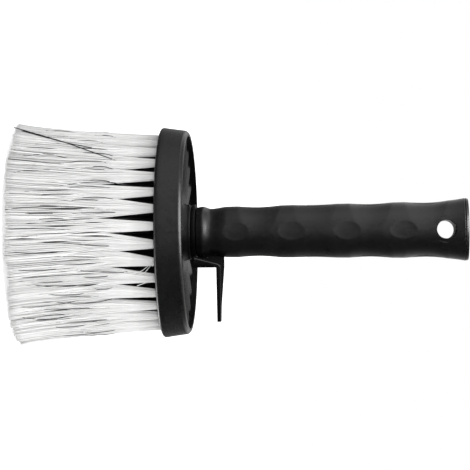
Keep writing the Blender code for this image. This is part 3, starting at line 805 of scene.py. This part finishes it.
def grip_rows():
    """Rows of points up the outside of the grip, close together at the bead."""
    root = corner_steps(ROOT_ROUND, (90, 60, 30))
    rows = circles([(handle_radius(rise) - inset, ROOT_Z + rise) for inset, rise in root], HANDLE_SIDES)
    near = np.arange(ROOT_ROUND, GRIP_FROM, COLLAR_STEP)
    far = np.arange(GRIP_FROM, HANDLE_LENGTH - END_ROUND, GRIP_STEP)
    for along in (*near, *far):
        radius = handle_radius(along) - dimple_depth(along, turn_angles(HANDLE_SIDES))
        rows.append(circle(radius, ROOT_Z + along, HANDLE_SIDES))
    end = corner_steps(END_ROUND, (0, 30, 60, 90))
    return rows + circles([(END_RADIUS - inset, HANDLE_END_Z - rise) for inset, rise in end], HANDLE_SIDES)


def hole_tools():
    """The tube round the hanging hole, and what cuts the hole with its rounded lips."""
    surface = handle_radius(HOLE_Z - ROOT_Z)
    tube_end = surface - GRIP_WALL / 2
    tube = turned("tube", [(HOLE_RADIUS + HOLE_WALL, z) for z in (-tube_end, tube_end)], HOLE_SIDES)
    lip = arc((HOLE_RADIUS + HOLE_FLARE, surface - HOLE_FLARE_DEPTH), HOLE_FLARE, 180, HOLE_LIP_TO, 5)
    last_radius, last_z = lip[-1]
    far = 2 * surface
    lip.append((last_radius + (far - last_z) * HOLE_SPREAD, far))
    hole = turned("hole", [(radius, -z) for radius, z in reversed(lip)] + lip, HOLE_SIDES)
    turn = Matrix.Rotation(HANDLE_TURN, 4, "Z") @ Matrix.Rotation(math.pi / 2, 4, "X")
    for tool in (tube, hole):
        tool.transform(Matrix.Translation((0, 0, HOLE_Z)) @ turn)
    return tube, hole


def handle_mesh():
    """The hollow grip with its spigot, dimples and hanging hole."""
    pilot = SCREW_RADIUS + SEAT_GAP
    inside = [
        (pilot, PILOT_TOP_Z),
        (pilot, SPIGOT_END_Z),
        (SPIGOT_RADIUS - SPIGOT_CHAMFER, SPIGOT_END_Z),
        (SPIGOT_RADIUS, SPIGOT_END_Z + SPIGOT_CHAMFER),
        (SPIGOT_RADIUS, ROOT_Z),
    ]
    corner = CAVITY_Z + CAVITY_CORNER - ROOT_Z
    hollow_rows = [HANDLE_LENGTH, HANDLE_LENGTH - CAP_SKIRT, GRIP_TO, corner]
    hollow = [(handle_radius(along) - GRIP_WALL, ROOT_Z + along) for along in hollow_rows]
    hollow.append((handle_radius(corner) - GRIP_WALL - CAVITY_CORNER, CAVITY_Z))
    rows = circles(inside, HANDLE_SIDES) + grip_rows() + circles(hollow, HANDLE_SIDES)
    tube, hole = hole_tools()
    return boolean(rows_mesh("handle_grip", rows), [("UNION", tube), ("DIFFERENCE", hole)])


def cap_mesh():
    """The slightly domed cap that closes the grip."""
    base = CAP_LOW.z + CAP_SKIRT + SEAT_GAP
    skirt = END_RADIUS - GRIP_WALL - SEAT_GAP
    drawn_in = handle_radius(HANDLE_LENGTH) - handle_radius(HANDLE_LENGTH - CAP_SKIRT)
    inside = skirt - drawn_in - CAP_WALL
    rim_top = base + END_ROUND + CAP_RIM
    profile = [(inside, base + SEAT_GAP), (inside, CAP_LOW.z), (skirt - drawn_in, CAP_LOW.z), (skirt, base)]
    profile += arc((END_RADIUS - END_ROUND, base + END_ROUND), END_ROUND, -90, 0, 4)
    for k in range(1, CAP_RIM_STEPS + 1):
        share = k / CAP_RIM_STEPS
        taper = CAP_TAPER * (1 - CAP_EASE + CAP_EASE * share) * share
        profile.append((END_RADIUS - taper, rim_top + CAP_RIM * (share - 1)))
    for a in map(math.radians, CAP_DOME_ANGLES):
        profile.append(((END_RADIUS - CAP_TAPER) * math.cos(a), rim_top + CAP_DOME * math.sin(a)))
    return turned("end_cap_shell", profile, HANDLE_SIDES)


def hook_half_width(x):
    """Half width of the hook's plate at a distance from the axis."""
    share = max((x - ARM_FACE) / (TONGUE_REACH - ARM_FACE), 0.0)
    return (TONGUE_ROOT_WIDTH + (TONGUE_TIP_WIDTH - TONGUE_ROOT_WIDTH) * share) / 2


def extruded(name, outline, half_width):
    """A plate from an (x, z) outline, standing half_width(x) to each side of the XZ plane."""
    bm = bmesh.new()
    sides = [[bm.verts.new((x, sign * half_width(x), z)) for x, z in outline] for sign in (-1, 1)]
    for i in range(len(outline)):
        j = (i + 1) % len(outline)
        bm.faces.new((sides[0][i], sides[0][j], sides[1][j], sides[1][i]))
    bm.faces.new(sides[0])
    bm.faces.new(sides[1][::-1])
    return mesh_from(bm, name)


def hook_mesh():
    """The bucket hook: ring, arm and tongue in one plate, with a web up to the grip."""
    bore = SPIGOT_RADIUS + SEAT_GAP
    outline = [(bore, RING_Z), (RING_RADIUS, RING_Z), (RING_RADIUS, RING_TOP_Z), (bore, RING_TOP_Z)]
    ring = turned("hook", outline, HOOK_SIDES, ring=True)
    inside = TONGUE_ROOT_THICKNESS / 2
    plate = [
        (bore + RING_THICKNESS, RING_Z),
        (ARM_FACE, RING_Z),
        (ARM_FACE, TONGUE_Z),
        (TONGUE_REACH, TONGUE_Z),
        (TONGUE_REACH, TONGUE_Z + TONGUE_TIP_THICKNESS),
        (ARM_END + inside, CORNER_Z),
        (ARM_END, CORNER_Z - inside / 2),
        (ARM_ROOT, RING_TOP_Z),
        (bore + RING_THICKNESS, RING_TOP_Z),
    ]
    web_top = CORNER_Z + WEB_PROUD
    web_foot = RING_TOP_Z - RING_THICKNESS / 2
    grip_side = []
    for k in range(WEB_STEPS + 1):
        z = web_foot + (web_top - web_foot) * k / WEB_STEPS
        grip_side.append((handle_radius(max(z - ROOT_Z, 0.0)) + WEB_GAP, z))
    reach_share = (WEB_REACH - ARM_FACE) / (TONGUE_REACH - ARM_FACE)
    reach_z = CORNER_Z + (TONGUE_TIP_THICKNESS - TONGUE_ROOT_THICKNESS) * reach_share
    web = grip_side + [
        (ARM_FACE, web_top),
        (WEB_REACH, reach_z),
        (WEB_REACH, TONGUE_Z + inside),
        (ARM_FACE - inside, TONGUE_Z + inside),
        (ARM_FACE - inside, web_foot),
    ]
    steps = [
        ("UNION", extruded("plate", plate, hook_half_width)),
        ("UNION", extruded("web", web, lambda x: WEB_THICKNESS / 2)),
    ]
    return bevelled(boolean(ring, steps), HOOK_BEVEL)


def add_arm_beads(hook, material):
    """Round beads down both sides of the hook's arm that bend towards the tongue, in a much lighter plastic
    as a painted highlight along the arm's edges.
    """
    corner = np.array((ARM_END, CORNER_Z))
    first, middle, last = (corner + offset for offset in ARM_BEAD_BEND)
    share = np.linspace(0, 1, ARM_BEAD_STEPS + 1)[:, None]
    bend = (1 - share) ** 2 * first + 2 * share * (1 - share) * middle + share**2 * last
    path = np.vstack([(ARM_ROOT + ARM_BEAD_START[0], RING_TOP_Z + ARM_BEAD_START[1]), bend])
    aside = [hook_half_width(x) - ARM_BEAD_SINK for x in path[:, 0]]
    lines = np.stack([np.stack([path[:, 0], sign * np.array(aside), path[:, 1]], 1) for sign in (-1, 1)])
    hook.data.materials.append(material)
    bm = bmesh.new()
    bm.from_mesh(hook.data)
    plain = len(bm.faces)
    add_tubes(bm, lines, ARM_BEAD_RADIUS, ARM_BEAD_SIDES, np.random.default_rng(ARM_BEAD_SEED))
    for face in list(bm.faces)[plain:]:
        face.material_index = 1
    bm.to_mesh(hook.data)
    bm.free()


def splay_at(t):
    """Share of the outward splay that a bristle has at the share t of its length."""
    return SPLAY_LINEAR * t + (1 - SPLAY_LINEAR) * t**SPLAY_POWER


def trim_height(x, y):
    """How far above the floor the bristles were cut, at a place under the brush."""
    near = np.clip(-y / OUTER_RING_RADIUS * TRIM_EASE, 0, 1)
    places, heights = zip(*TRIM)
    return TIP_CLEARANCE + near * np.interp(x, places, heights)


def tuft_gaps(rng, tufts):
    """Where each tuft meets the next: share of the length, and shifts to one side there and at the tips."""
    meets = rng.uniform(*MEET_SPAN, tufts)
    aside = rng.normal(0, MEET_ASIDE, tufts)
    tip_aside = rng.normal(0, TIP_ASIDE, tufts)
    return np.stack([meets, aside, tip_aside], 1)


def shown_share(number):
    """How much of the gap after a white tuft shows from the near side: the tufts' depth hides the rest."""
    off = 2 * math.pi * ((number + 0.5) / OUTER_TUFTS - NEAR_TURN)
    half_pitch = math.pi * OUTER_RING_RADIUS / OUTER_TUFTS
    hidden = min(TUFT_ROOT_RADIUS * math.tan(abs(off)), half_pitch)
    free = math.sqrt(half_pitch**2 - hidden**2) - BRISTLE_RADIUS - TUFT_ROOT_RADIUS
    return max(free / (half_pitch - TUFT_ROOT_RADIUS), LEAST_SHOWN)


def near_gaps(gaps):
    """The gaps of the white tufts after those on the near side are set as the brush has them."""
    first = int(OUTER_TUFTS * NEAR_TURN) - (len(NEAR_MEETS) - 1) // 2
    for k, (height, aside) in enumerate(NEAR_MEETS):
        gaps[first + k, :2] = (1 - height / FACE_Z) / shown_share(first + k), aside
    return gaps


def tuft_edge(t, radius, tufts, gap, sign, root):
    """Side of a tuft at shares t of its length: straight to where it meets the next one, then among it."""
    meet, aside, tip_aside = gap
    half_pitch = math.pi * radius / tufts
    past = np.clip((t - meet) / (1 - meet), 0, 1)
    beyond = sign * half_pitch * (1 + OVERLAP * past**FREE_POWER) + aside + (tip_aside - aside) * past
    at_meet = np.interp(meet, t[::-1], (sign * half_pitch)[::-1]) + aside
    before = sign * root + (at_meet - sign * root) * np.clip(t / meet, 0, 1)
    return np.where(t < meet, before, beyond)


def add_tubes(bm, lines, radius, sides, rng):
    """Adds closed tubes to a bmesh, round centre lines (count, levels, 3) from the tips up to the roots."""
    count, levels, _ = lines.shape
    angles = rng.uniform(0, 2 * math.pi, (count, 1, 1)) + turn_angles(sides)
    points = np.repeat(lines[:, :, None], sides, 2)
    points[..., 0] += radius * np.cos(angles)
    points[..., 1] += radius * np.sin(angles)
    index = np.arange(count * levels * sides).reshape(count, levels, sides)
    low, high = index[:, :-1], index[:, 1:]
    quads = np.stack([low, np.roll(low, -1, 2), np.roll(high, -1, 2), high], -1).reshape(-1, 4).tolist()
    ends = [*index[:, 0, ::-1].tolist(), *index[:, -1].tolist()]
    mesh = bpy.data.meshes.new("tubes")
    mesh.from_pydata(points.reshape(-1, 3).tolist(), [], quads + ends)
    mesh.polygons.foreach_set("use_smooth", [True] * len(quads) + [False] * len(ends))
    bm.from_mesh(mesh)
    bpy.data.meshes.remove(mesh)


def in_circle(value, other):
    """A coordinate of points in a circle, as a share of the widest that it can be beside the other one."""
    return value / np.sqrt(np.clip(1 - other**2, ROUND_LEAST, 1))


def tuft_lines(rng, ring_radius, tufts, count, levels, gaps, root):
    """Centre lines of one tuft's bristles at +X: (count, levels + 1, 3), from the tip to the root."""
    k = np.arange(count)
    share = np.sqrt((k + 0.5) / count)
    turn = k * GOLDEN_ANGLE + rng.uniform(*FIRST_TURN)
    out = share * np.cos(turn)
    around = share * np.sin(turn)
    order = np.argsort(np.argsort(in_circle(around, out))) + rng.uniform(*ORDER_BLUR, count)
    wide = np.clip(2 * (order + 0.5) / count - 1, -1, 1)
    deep = np.clip(in_circle(out, around), -1, 1)
    t = np.array(levels)
    radius = ring_radius * (1 + SPLAY * ring_radius / OUTER_RING_RADIUS * splay_at(t))
    left = tuft_edge(t, radius, tufts, gaps[0], -1, root)
    right = tuft_edge(t, radius, tufts, gaps[1], 1, root)
    met = max(gaps[0][0], gaps[1][0])
    opened = np.clip((t - met) / OPENING, 0, 1)
    across = around[:, None] * (1 - opened) + wide[:, None] * opened
    side = (left + right) / 2 + across * (right - left) / 2
    thick = root + (SPREAD_RADIAL - root) * t
    depth = (out[:, None] * (1 - opened) + deep[:, None] * opened) * thick
    free = np.clip((t - met) / (1 - met), 0, 1) ** FREE_POWER
    side += rng.normal(0, SIDE_NOISE, (count, 1)) * free
    depth += rng.normal(0, TUFT_LEAN) * t + rng.normal(0, DEPTH_NOISE, (count, 1)) * free
    gather_wisps(rng, wide, t, side, depth)
    phase = rng.uniform(0, 2 * math.pi, (count, 2, 1))
    speed = rng.uniform(*WAVE_SPEED, (count, 2, 1))
    side += SIDE_WAVE * np.sin(speed[:, 0] * t + phase[:, 0]) * free
    depth += DEPTH_WAVE * np.sin(speed[:, 1] * t + phase[:, 1]) * free
    part_bristles(rng, t, left, right, side)
    tip = rng.uniform(0, TUFT_TIP) + rng.uniform(0, BRISTLE_TIP, (count, 1))
    lines = np.zeros((count, len(levels) + 1, 3))
    lines[:, :-1, 0] = radius + depth
    lines[:, :-1, 1] = side
    lines[:, :-1, 2] = FACE_Z + (tip - FACE_Z) * t
    lines[:, -1] = lines[:, -2]
    lines[:, -1, 2] = FACE_Z + ROOT_SINK
    return lines


def gather_wisps(rng, wide, t, side, depth):
    """Draws the bristles of a tuft together in wisps for part of their length, which leaves fine gaps."""
    place = (wide + rng.normal(0, WISP_BLUR, len(wide)) + 1) / 2 * WISPS
    wisp = np.clip(place, 0, WISPS - 1).astype(int)
    for w in range(WISPS):
        mine = wisp == w
        if mine.sum() < 2:
            continue
        middle = rng.uniform(*WISP_MIDDLE)
        reach = rng.uniform(*WISP_REACH)
        pull = rng.uniform(*WISP_PULL) * np.exp(-(((t - middle) / reach) ** 2))
        shift = rng.normal(0, WISP_SHIFT, 2)
        side[mine] += (side[mine].mean(0) - side[mine]) * pull + shift[0] * t
        depth[mine] += (depth[mine].mean(0) - depth[mine]) * pull * WISP_DEPTH_SHARE + shift[1] * t


def part_bristles(rng, t, left, right, side):
    """Parts the bristles of a tuft in a few slits, each open for a stretch of their length."""
    for _ in range(rng.integers(*PARTINGS)):
        place = rng.uniform(*PARTING_PLACE)
        middle = rng.uniform(*PARTING_MIDDLE)
        open_share = np.exp(-(((t - middle) / rng.uniform(*PARTING_REACH)) ** 2))
        off = side - (left + (right - left) * place)
        near_middle = np.argmax(open_share)
        way = np.sign(off[:, near_middle:near_middle + 1])
        ease = np.exp(-np.abs(off) / PARTING_EASE)
        side += way * rng.uniform(*PARTING_HALF_WIDTH) * open_share * ease


def place_lines(lines, angle):
    """Turns centre lines from +X to their tuft, and lifts their tips to the trim."""
    spun = lines.copy()
    spun[..., 0] = lines[..., 0] * math.cos(angle) - lines[..., 1] * math.sin(angle)
    spun[..., 1] = lines[..., 0] * math.sin(angle) + lines[..., 1] * math.cos(angle)
    lift = trim_height(spun[:, :1, 0], spun[:, :1, 1])
    down = np.clip(1 - spun[..., 2] / FACE_Z, 0, 1)
    spun[..., 2] += lift * down
    return spun


def add_strays(bm, strays, root_radius, radius, rng):
    """Adds stray bristles of the near side to a bmesh."""
    lines = np.stack([stray_line(points, root_radius) for points in strays])
    add_tubes(bm, lines, radius, WHITE_SIDES, rng)


def make_white_tufts(material):
    """The ring of white tufts, each one its own piece; the first one stands on the hook's side."""
    gaps = near_gaps(tuft_gaps(np.random.default_rng(GAP_SEED), OUTER_TUFTS))
    for number, angle in enumerate(turn_angles(OUTER_TUFTS), start=1):
        rng = np.random.default_rng(WHITE_SEED + number)
        sides = (gaps[number - 2], gaps[number - 1])
        lines = tuft_lines(
            rng, OUTER_RING_RADIUS, OUTER_TUFTS, WHITE_BRISTLES, WHITE_LEVELS, sides, TUFT_ROOT_RADIUS)
        bm = bmesh.new()
        add_tubes(bm, place_lines(lines, angle), BRISTLE_RADIUS, WHITE_SIDES, rng)
        crossing = [points for points in WHITE_STRAYS if nearest_tuft(points) == number]
        if crossing:
            add_strays(bm, crossing, OUTER_RING_RADIUS, BRISTLE_RADIUS, rng)
        name = f"white_tuft_{number:02d}"
        mesh = mesh_from(bm, name, turn_out=False)
        piece(name, mesh, material, f"outer_tuft_{number:02d}")


def envelope(z):
    """Outer radius of the white bristles at a height."""
    t = 1 - z / FACE_Z
    spread = TUFT_ROOT_RADIUS + (SPREAD_RADIAL - TUFT_ROOT_RADIUS) * t
    return OUTER_RING_RADIUS * (1 + SPLAY * splay_at(t)) + spread + ENVELOPE_COVER


def nearest_tuft(points):
    """Number of the white tuft that a stray on the near side springs from."""
    x, z = points[-1]
    angle = math.atan2(-math.sqrt(envelope(z) ** 2 - x**2), x) % (2 * math.pi)
    return round(angle / (2 * math.pi) * OUTER_TUFTS) % OUTER_TUFTS + 1


def stray_line(points, root_radius):
    """A stray bristle on the near side: over the white ones along its (x, z) points, then in to its root."""
    xs, zs = (np.array(column) for column in zip(*points))
    run = np.linspace(0, 1, STRAY_STEPS)
    knots = np.linspace(0, 1, len(points))
    x, z = (np.interp(run, knots, column) for column in (xs, zs))
    y = -np.sqrt(np.clip((envelope(z) + STRAY_LIFT) ** 2 - x**2, 0, None))
    slope = (xs[-1] - xs[-2]) / (zs[-1] - zs[-2])
    limit = root_radius * STRAY_ROOT_SHARE
    root_x = np.clip(xs[-1] + slope * (FACE_Z - zs[-1]), -limit, limit)
    root = np.array([root_x, -math.sqrt(root_radius**2 - root_x**2), FACE_Z + ROOT_SINK])
    over = np.stack([x, y, z], 1)
    rise = min(DIVE_RISE, (FACE_Z - zs[-1]) / 2)
    under = over[-1] + np.array([slope * rise, DIVE_DEPTH, rise])
    shares = np.linspace(0, 1, STRAY_STEPS // 2 + 1)[:, None]
    return np.concatenate([over, under + (root - under) * shares])


def peeping_line(start, end, angle, lean, lift, root_radius):
    """A black bristle that comes up among the white ones between two heights, then goes in to its root."""
    run = np.linspace(0, 1, PEEP_STEPS)
    shown = start + (end - start) * run
    under = -PEEP_SINK * (1 - np.sin(math.pi * run) ** PEEP_FLATNESS)
    radii = envelope(shown) + lift + under
    heights = np.concatenate([[start * PEEP_LOW_END], shown, [FACE_Z + ROOT_SINK]])
    radii = np.concatenate([[radii[0] - PEEP_SINK], radii, [root_radius]])
    angles = angle + lean * (heights - start)
    return np.stack([radii * np.cos(angles), radii * np.sin(angles), heights], 1)


def peeping_lines(root_radius):
    """All the black bristles that show among the white ones."""
    rng = np.random.default_rng(PEEP_SEED)
    lines = []
    for number in range(PEEPERS):
        start = rng.uniform(*PEEP_FROM)
        end = min(start + rng.uniform(*PEEP_REACH), PEEP_TOP)
        lean = rng.normal(0, PEEP_LEAN) / OUTER_RING_RADIUS
        lift = rng.uniform(*PEEP_LIFT)
        lines.append(peeping_line(start, end, number * GOLDEN_ANGLE, lean, lift, root_radius))
    for (first_x, start), (last_x, end) in NEAR_PEEPERS:
        angle = -math.acos(first_x / envelope(start))
        lean = (-math.acos(last_x / envelope(end)) - angle) / (end - start)
        lines.append(peeping_line(start, end, angle, lean, NEAR_LIFT, root_radius))
    return np.stack(lines)


def backing_ring(radius, tufts):
    """The slice of backing that holds a ring of black tufts."""
    inner = radius - RING_PITCH / 2 + SEAT_GAP / 2
    outer = radius + RING_PITCH / 2 - SEAT_GAP / 2
    low = FACE_Z - BACKING_PROUD
    high = FACE_Z + SLICE_THICKNESS
    profile = [(inner, low), (outer, low), (outer, high), (inner, high)]
    return turned("backing", profile, BACKING_SIDES * tufts, ring=True)


def make_black_rings(material):
    """The inner rings of black tufts, each on the slice of backing that holds it."""
    for index in range(1, INNER_RINGS + 1):
        rng = np.random.default_rng(BLACK_SEED + index)
        radius = OUTER_RING_RADIUS - RING_PITCH * index
        tufts = round(2 * math.pi * radius / TUFT_SPACING)
        gaps = tuft_gaps(rng, tufts)
        backing = backing_ring(radius, tufts)
        bm = bmesh.new()
        bm.from_mesh(backing)
        bpy.data.meshes.remove(backing)
        for k in range(tufts):
            sides = (gaps[k - 1], gaps[k])
            lines = tuft_lines(rng, radius, tufts, BLACK_BRISTLES, BLACK_LEVELS, sides, BLACK_ROOT_RADIUS)
            angle = 2 * math.pi * (k + 0.5 * (index % 2)) / tufts
            add_tubes(bm, place_lines(lines, angle), BRISTLE_RADIUS, BLACK_SIDES, rng)
        if index == 1:
            add_strays(bm, BLACK_STRAYS, radius, STRAY_RADIUS, rng)
            add_tubes(bm, peeping_lines(radius), BRISTLE_RADIUS, WHITE_SIDES, rng)
        name = f"black_tufts_ring_{index}"
        mesh = mesh_from(bm, name, turn_out=False)
        piece(name, mesh, material, f"inner_tufts_ring_{index}")


def floor_material():
    """Pale floor that shows white to the eye and keeps the shadow of the brush."""
    nodes = Nodes(bpy.data.materials.new("studio_floor"), empty=True)
    matt = nodes.add("ShaderNodeBsdfDiffuse", {"Color": (FLOOR_COLOUR, FLOOR_COLOUR, FLOOR_COLOUR, 1.0)})
    level = nodes.add("ShaderNodeMath", {0: nodes.seen_rays(), 1: FLOOR_GLOW}, operation="MULTIPLY")
    glow = nodes.add("ShaderNodeEmission", {"Strength": level.outputs[0]})
    both = nodes.add("ShaderNodeAddShader", {0: matt.outputs[0], 1: glow.outputs[0]})
    nodes.add("ShaderNodeOutputMaterial", {"Surface": both.outputs[0]})
    return nodes.owner


def make_floor():
    """A round plain floor under the brush."""
    bm = bmesh.new()
    bmesh.ops.create_circle(bm, cap_ends=True, radius=FLOOR_RADIUS, segments=FLOOR_SIDES)
    floor = placed("studio_floor", mesh_from(bm, "studio_floor", turn_out=False))
    floor.data.materials.append(floor_material())
    floor.location.z = -FLOOR_DROP


def make_world():
    """Soft even light all round, and a white background to the eye and in reflections."""
    world = bpy.data.worlds.new("studio")
    bpy.context.scene.world = world
    nodes = Nodes(world, empty=True)
    soft, white = (
        nodes.add("ShaderNodeBackground", {"Color": (1.0, 1.0, 1.0, 1.0), "Strength": strength}).outputs[0]
        for strength in (AMBIENT, 1.0)
    )
    mix = nodes.add("ShaderNodeMixShader", {"Fac": nodes.seen_rays(), 1: soft, 2: white})
    nodes.add("ShaderNodeOutputWorld", {"Surface": mix.outputs[0]})


def softbox(name, place, aim, width, height, power):
    """A rectangular area lamp that faces a point."""
    lamp = bpy.data.lights.new(name, "AREA")
    lamp.shape = "RECTANGLE"
    lamp.size = width
    lamp.size_y = height
    lamp.energy = power
    obj = placed(name, lamp)
    obj.location = place
    obj.rotation_mode = "QUATERNION"
    obj.rotation_quaternion = (Vector(aim) - Vector(place)).to_track_quat("-Z", "Y")
    return obj


def gloss_only(obj):
    """Leaves a light or card in the gloss of the brush and takes it out of everything else."""
    obj.visible_camera = False
    obj.visible_diffuse = False
    obj.visible_transmission = False
    obj.visible_volume_scatter = False
    obj.visible_shadow = False
    return obj


def glow_sheet(name, radii, heights, angles, glow):
    """A turned sheet that shows only in the gloss, with a radiance at each of its points.

    The angles are in degrees from the camera towards +X.
    """
    turn = np.radians(angles)
    level = np.repeat(heights[:, None], len(turn), 1)
    points = np.stack([np.outer(radii, np.sin(turn)), -np.outer(radii, np.cos(turn)), level], -1)
    index = np.arange(glow.size).reshape(glow.shape)
    quads = np.stack([index[:-1, :-1], index[:-1, 1:], index[1:, 1:], index[1:, :-1]], -1).reshape(-1, 4)
    mesh = bpy.data.meshes.new(name)
    mesh.from_pydata(points.reshape(-1, 3).tolist(), [], quads.tolist())
    colours = np.ones((glow.size, 4))
    colours[:, :3] = glow.reshape(-1, 1)
    mesh.color_attributes.new("glow", "FLOAT_COLOR", "POINT").data.foreach_set("color", colours.ravel())
    nodes = Nodes(bpy.data.materials.new(name), empty=True)
    strength = nodes.add("ShaderNodeAttribute", attribute_name="glow").outputs["Fac"]
    light = nodes.add("ShaderNodeEmission", {"Strength": strength})
    nodes.add("ShaderNodeOutputMaterial", {"Surface": light.outputs[0]})
    mesh.materials.append(nodes.owner)
    gloss_only(placed(name, mesh))


def patch_glow(angles, spans, patches):
    """Radiance of soft patches over angles in degrees and over heights or radii."""
    total = np.zeros((len(spans), len(angles)))
    for angle, half_width, span, half_span, radiance in patches:
        around = (angles - angle + 180) % 360 - 180
        along = np.exp(-(((spans - span) / half_span) ** 2))
        total += radiance * along[:, None] * np.exp(-((around / half_width) ** 2))
    return total


def make_gloss_cards():
    """The round card and the apron that the glossy plastic reflects."""
    angles = np.linspace(-180, 180, WRAP_SIDES + 1)
    heights = np.linspace(0, WRAP_HEIGHT, WRAP_ROWS + 1)
    greys = np.interp(angles, *zip(*WRAP_GREYS))
    rise = np.interp(heights, *zip(*WRAP_RISE))
    glow = rise[:, None] * greys + patch_glow(angles, heights, WRAP_PATCHES)
    glow_sheet("studio_wrap", np.full(len(heights), WRAP_RADIUS), heights, angles, glow)
    radii = np.geomspace(APRON_INNER, APRON_OUTER, APRON_ROWS + 1)
    glow = APRON_GREY + patch_glow(angles, radii, APRON_PATCHES)
    glow_sheet("studio_apron", radii, np.full(len(radii), APRON_HEIGHT), angles, glow)


def make_lights():
    """The softbox for the gloss and the lamp for the matt surfaces."""
    place, aim, width, height = OVERHEAD
    gloss_only(softbox("overhead", place, aim, width, height, OVERHEAD_RADIANCE * math.pi * width * height))
    softbox("fill", *FILL, FILL_POWER).visible_glossy = False


def make_camera():
    """The photograph's camera."""
    back = Vector((
        math.sin(CAMERA_PITCH),
        -math.cos(CAMERA_PITCH) * math.cos(CAMERA_YAW),
        math.cos(CAMERA_PITCH) * math.sin(CAMERA_YAW),
    ))
    level = Vector((0.0, math.sin(CAMERA_YAW), math.cos(CAMERA_YAW)))
    level = (level - back * level.dot(back)).normalized()
    down = level.cross(back)
    right = level * math.cos(CAMERA_ROLL) - down * math.sin(CAMERA_ROLL)
    down = level * math.sin(CAMERA_ROLL) + down * math.cos(CAMERA_ROLL)
    data = bpy.data.cameras.new("camera")
    data.sensor_width = SENSOR_WIDTH
    data.lens = SENSOR_WIDTH * FOCAL_PIXELS / PICTURE_PIXELS
    camera = placed("camera", data)
    turn = Matrix((right, -down, back)).transposed().to_4x4()
    camera.matrix_world = Matrix.Translation(CAMERA_AIM + back * CAMERA_DISTANCE) @ turn
    bpy.context.scene.camera = camera


def dress_metal(material):
    """Gives the CAD's screw and washer their plated steel."""
    for name in ("fixing_screw", "washer"):
        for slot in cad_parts[name].material_slots:
            slot.material = material


def in_recess(face):
    """If a face of the block is on the floor or the walls of its recess."""
    radius = math.hypot(face.center.x, face.center.y)
    deepest = RIDGE_Z - 2 * PLEAT_DEPTH
    return HUB_RADIUS < radius < RIM_RADIUS + RECESS_MARGIN and deepest < face.center.z < BACK_Z


def in_dimple(face):
    """If a face of the handle is the floor of a finger dimple."""
    x, y, z = face.center
    along = z - ROOT_Z
    if not GRIP_FROM < along < HANDLE_LENGTH or math.hypot(x, y) < handle_radius(along) - GRIP_WALL / 2:
        return False
    return any(
        oval_reach(along, math.atan2(y, x), facing, centre, SIDE_SIZE if beside else DIMPLE_SIZE) < 1
        for beside, _, facing, centre in dimple_places()
    )


def second_finish(obj, material, chosen):
    """Gives a second material to the faces that a test picks."""
    obj.data.materials.append(material)
    for face in obj.data.polygons:
        if chosen(face):
            face.material_index = 1


def make_brush():
    """Every piece of the brush."""
    block = piece("block_shell", smoothed(block_mesh()), plastic("block_plastic"), "block")
    # The recess of the block gets painted shade: a darker copy of its plastic with weaker reflection
    second_finish(block, plastic("recess_shaded_plastic"), in_recess)
    grip = plastic("grip_plastic")
    handle = piece("handle_grip", smoothed(handle_mesh()), grip, "handle")
    second_finish(handle, plastic("dimple_plastic"), in_dimple)
    piece("end_cap_shell", smoothed(cap_mesh()), grip, "end_cap")
    hook = piece("bucket_hook", smoothed(hook_mesh()), plastic("hook_plastic"), "hook")
    # The beads along the arm carry a painted highlight
    add_arm_beads(hook, plastic("hook_edge_highlight_plastic"))
    make_white_tufts(bristle("white_bristle"))
    make_black_rings(bristle("black_bristle"))
    dress_metal(zinc("zinc_steel"))


make_camera()
make_brush()
make_floor()
make_world()
make_gloss_cards()
make_lights()
bpy.context.scene.view_settings.view_transform = "Standard"
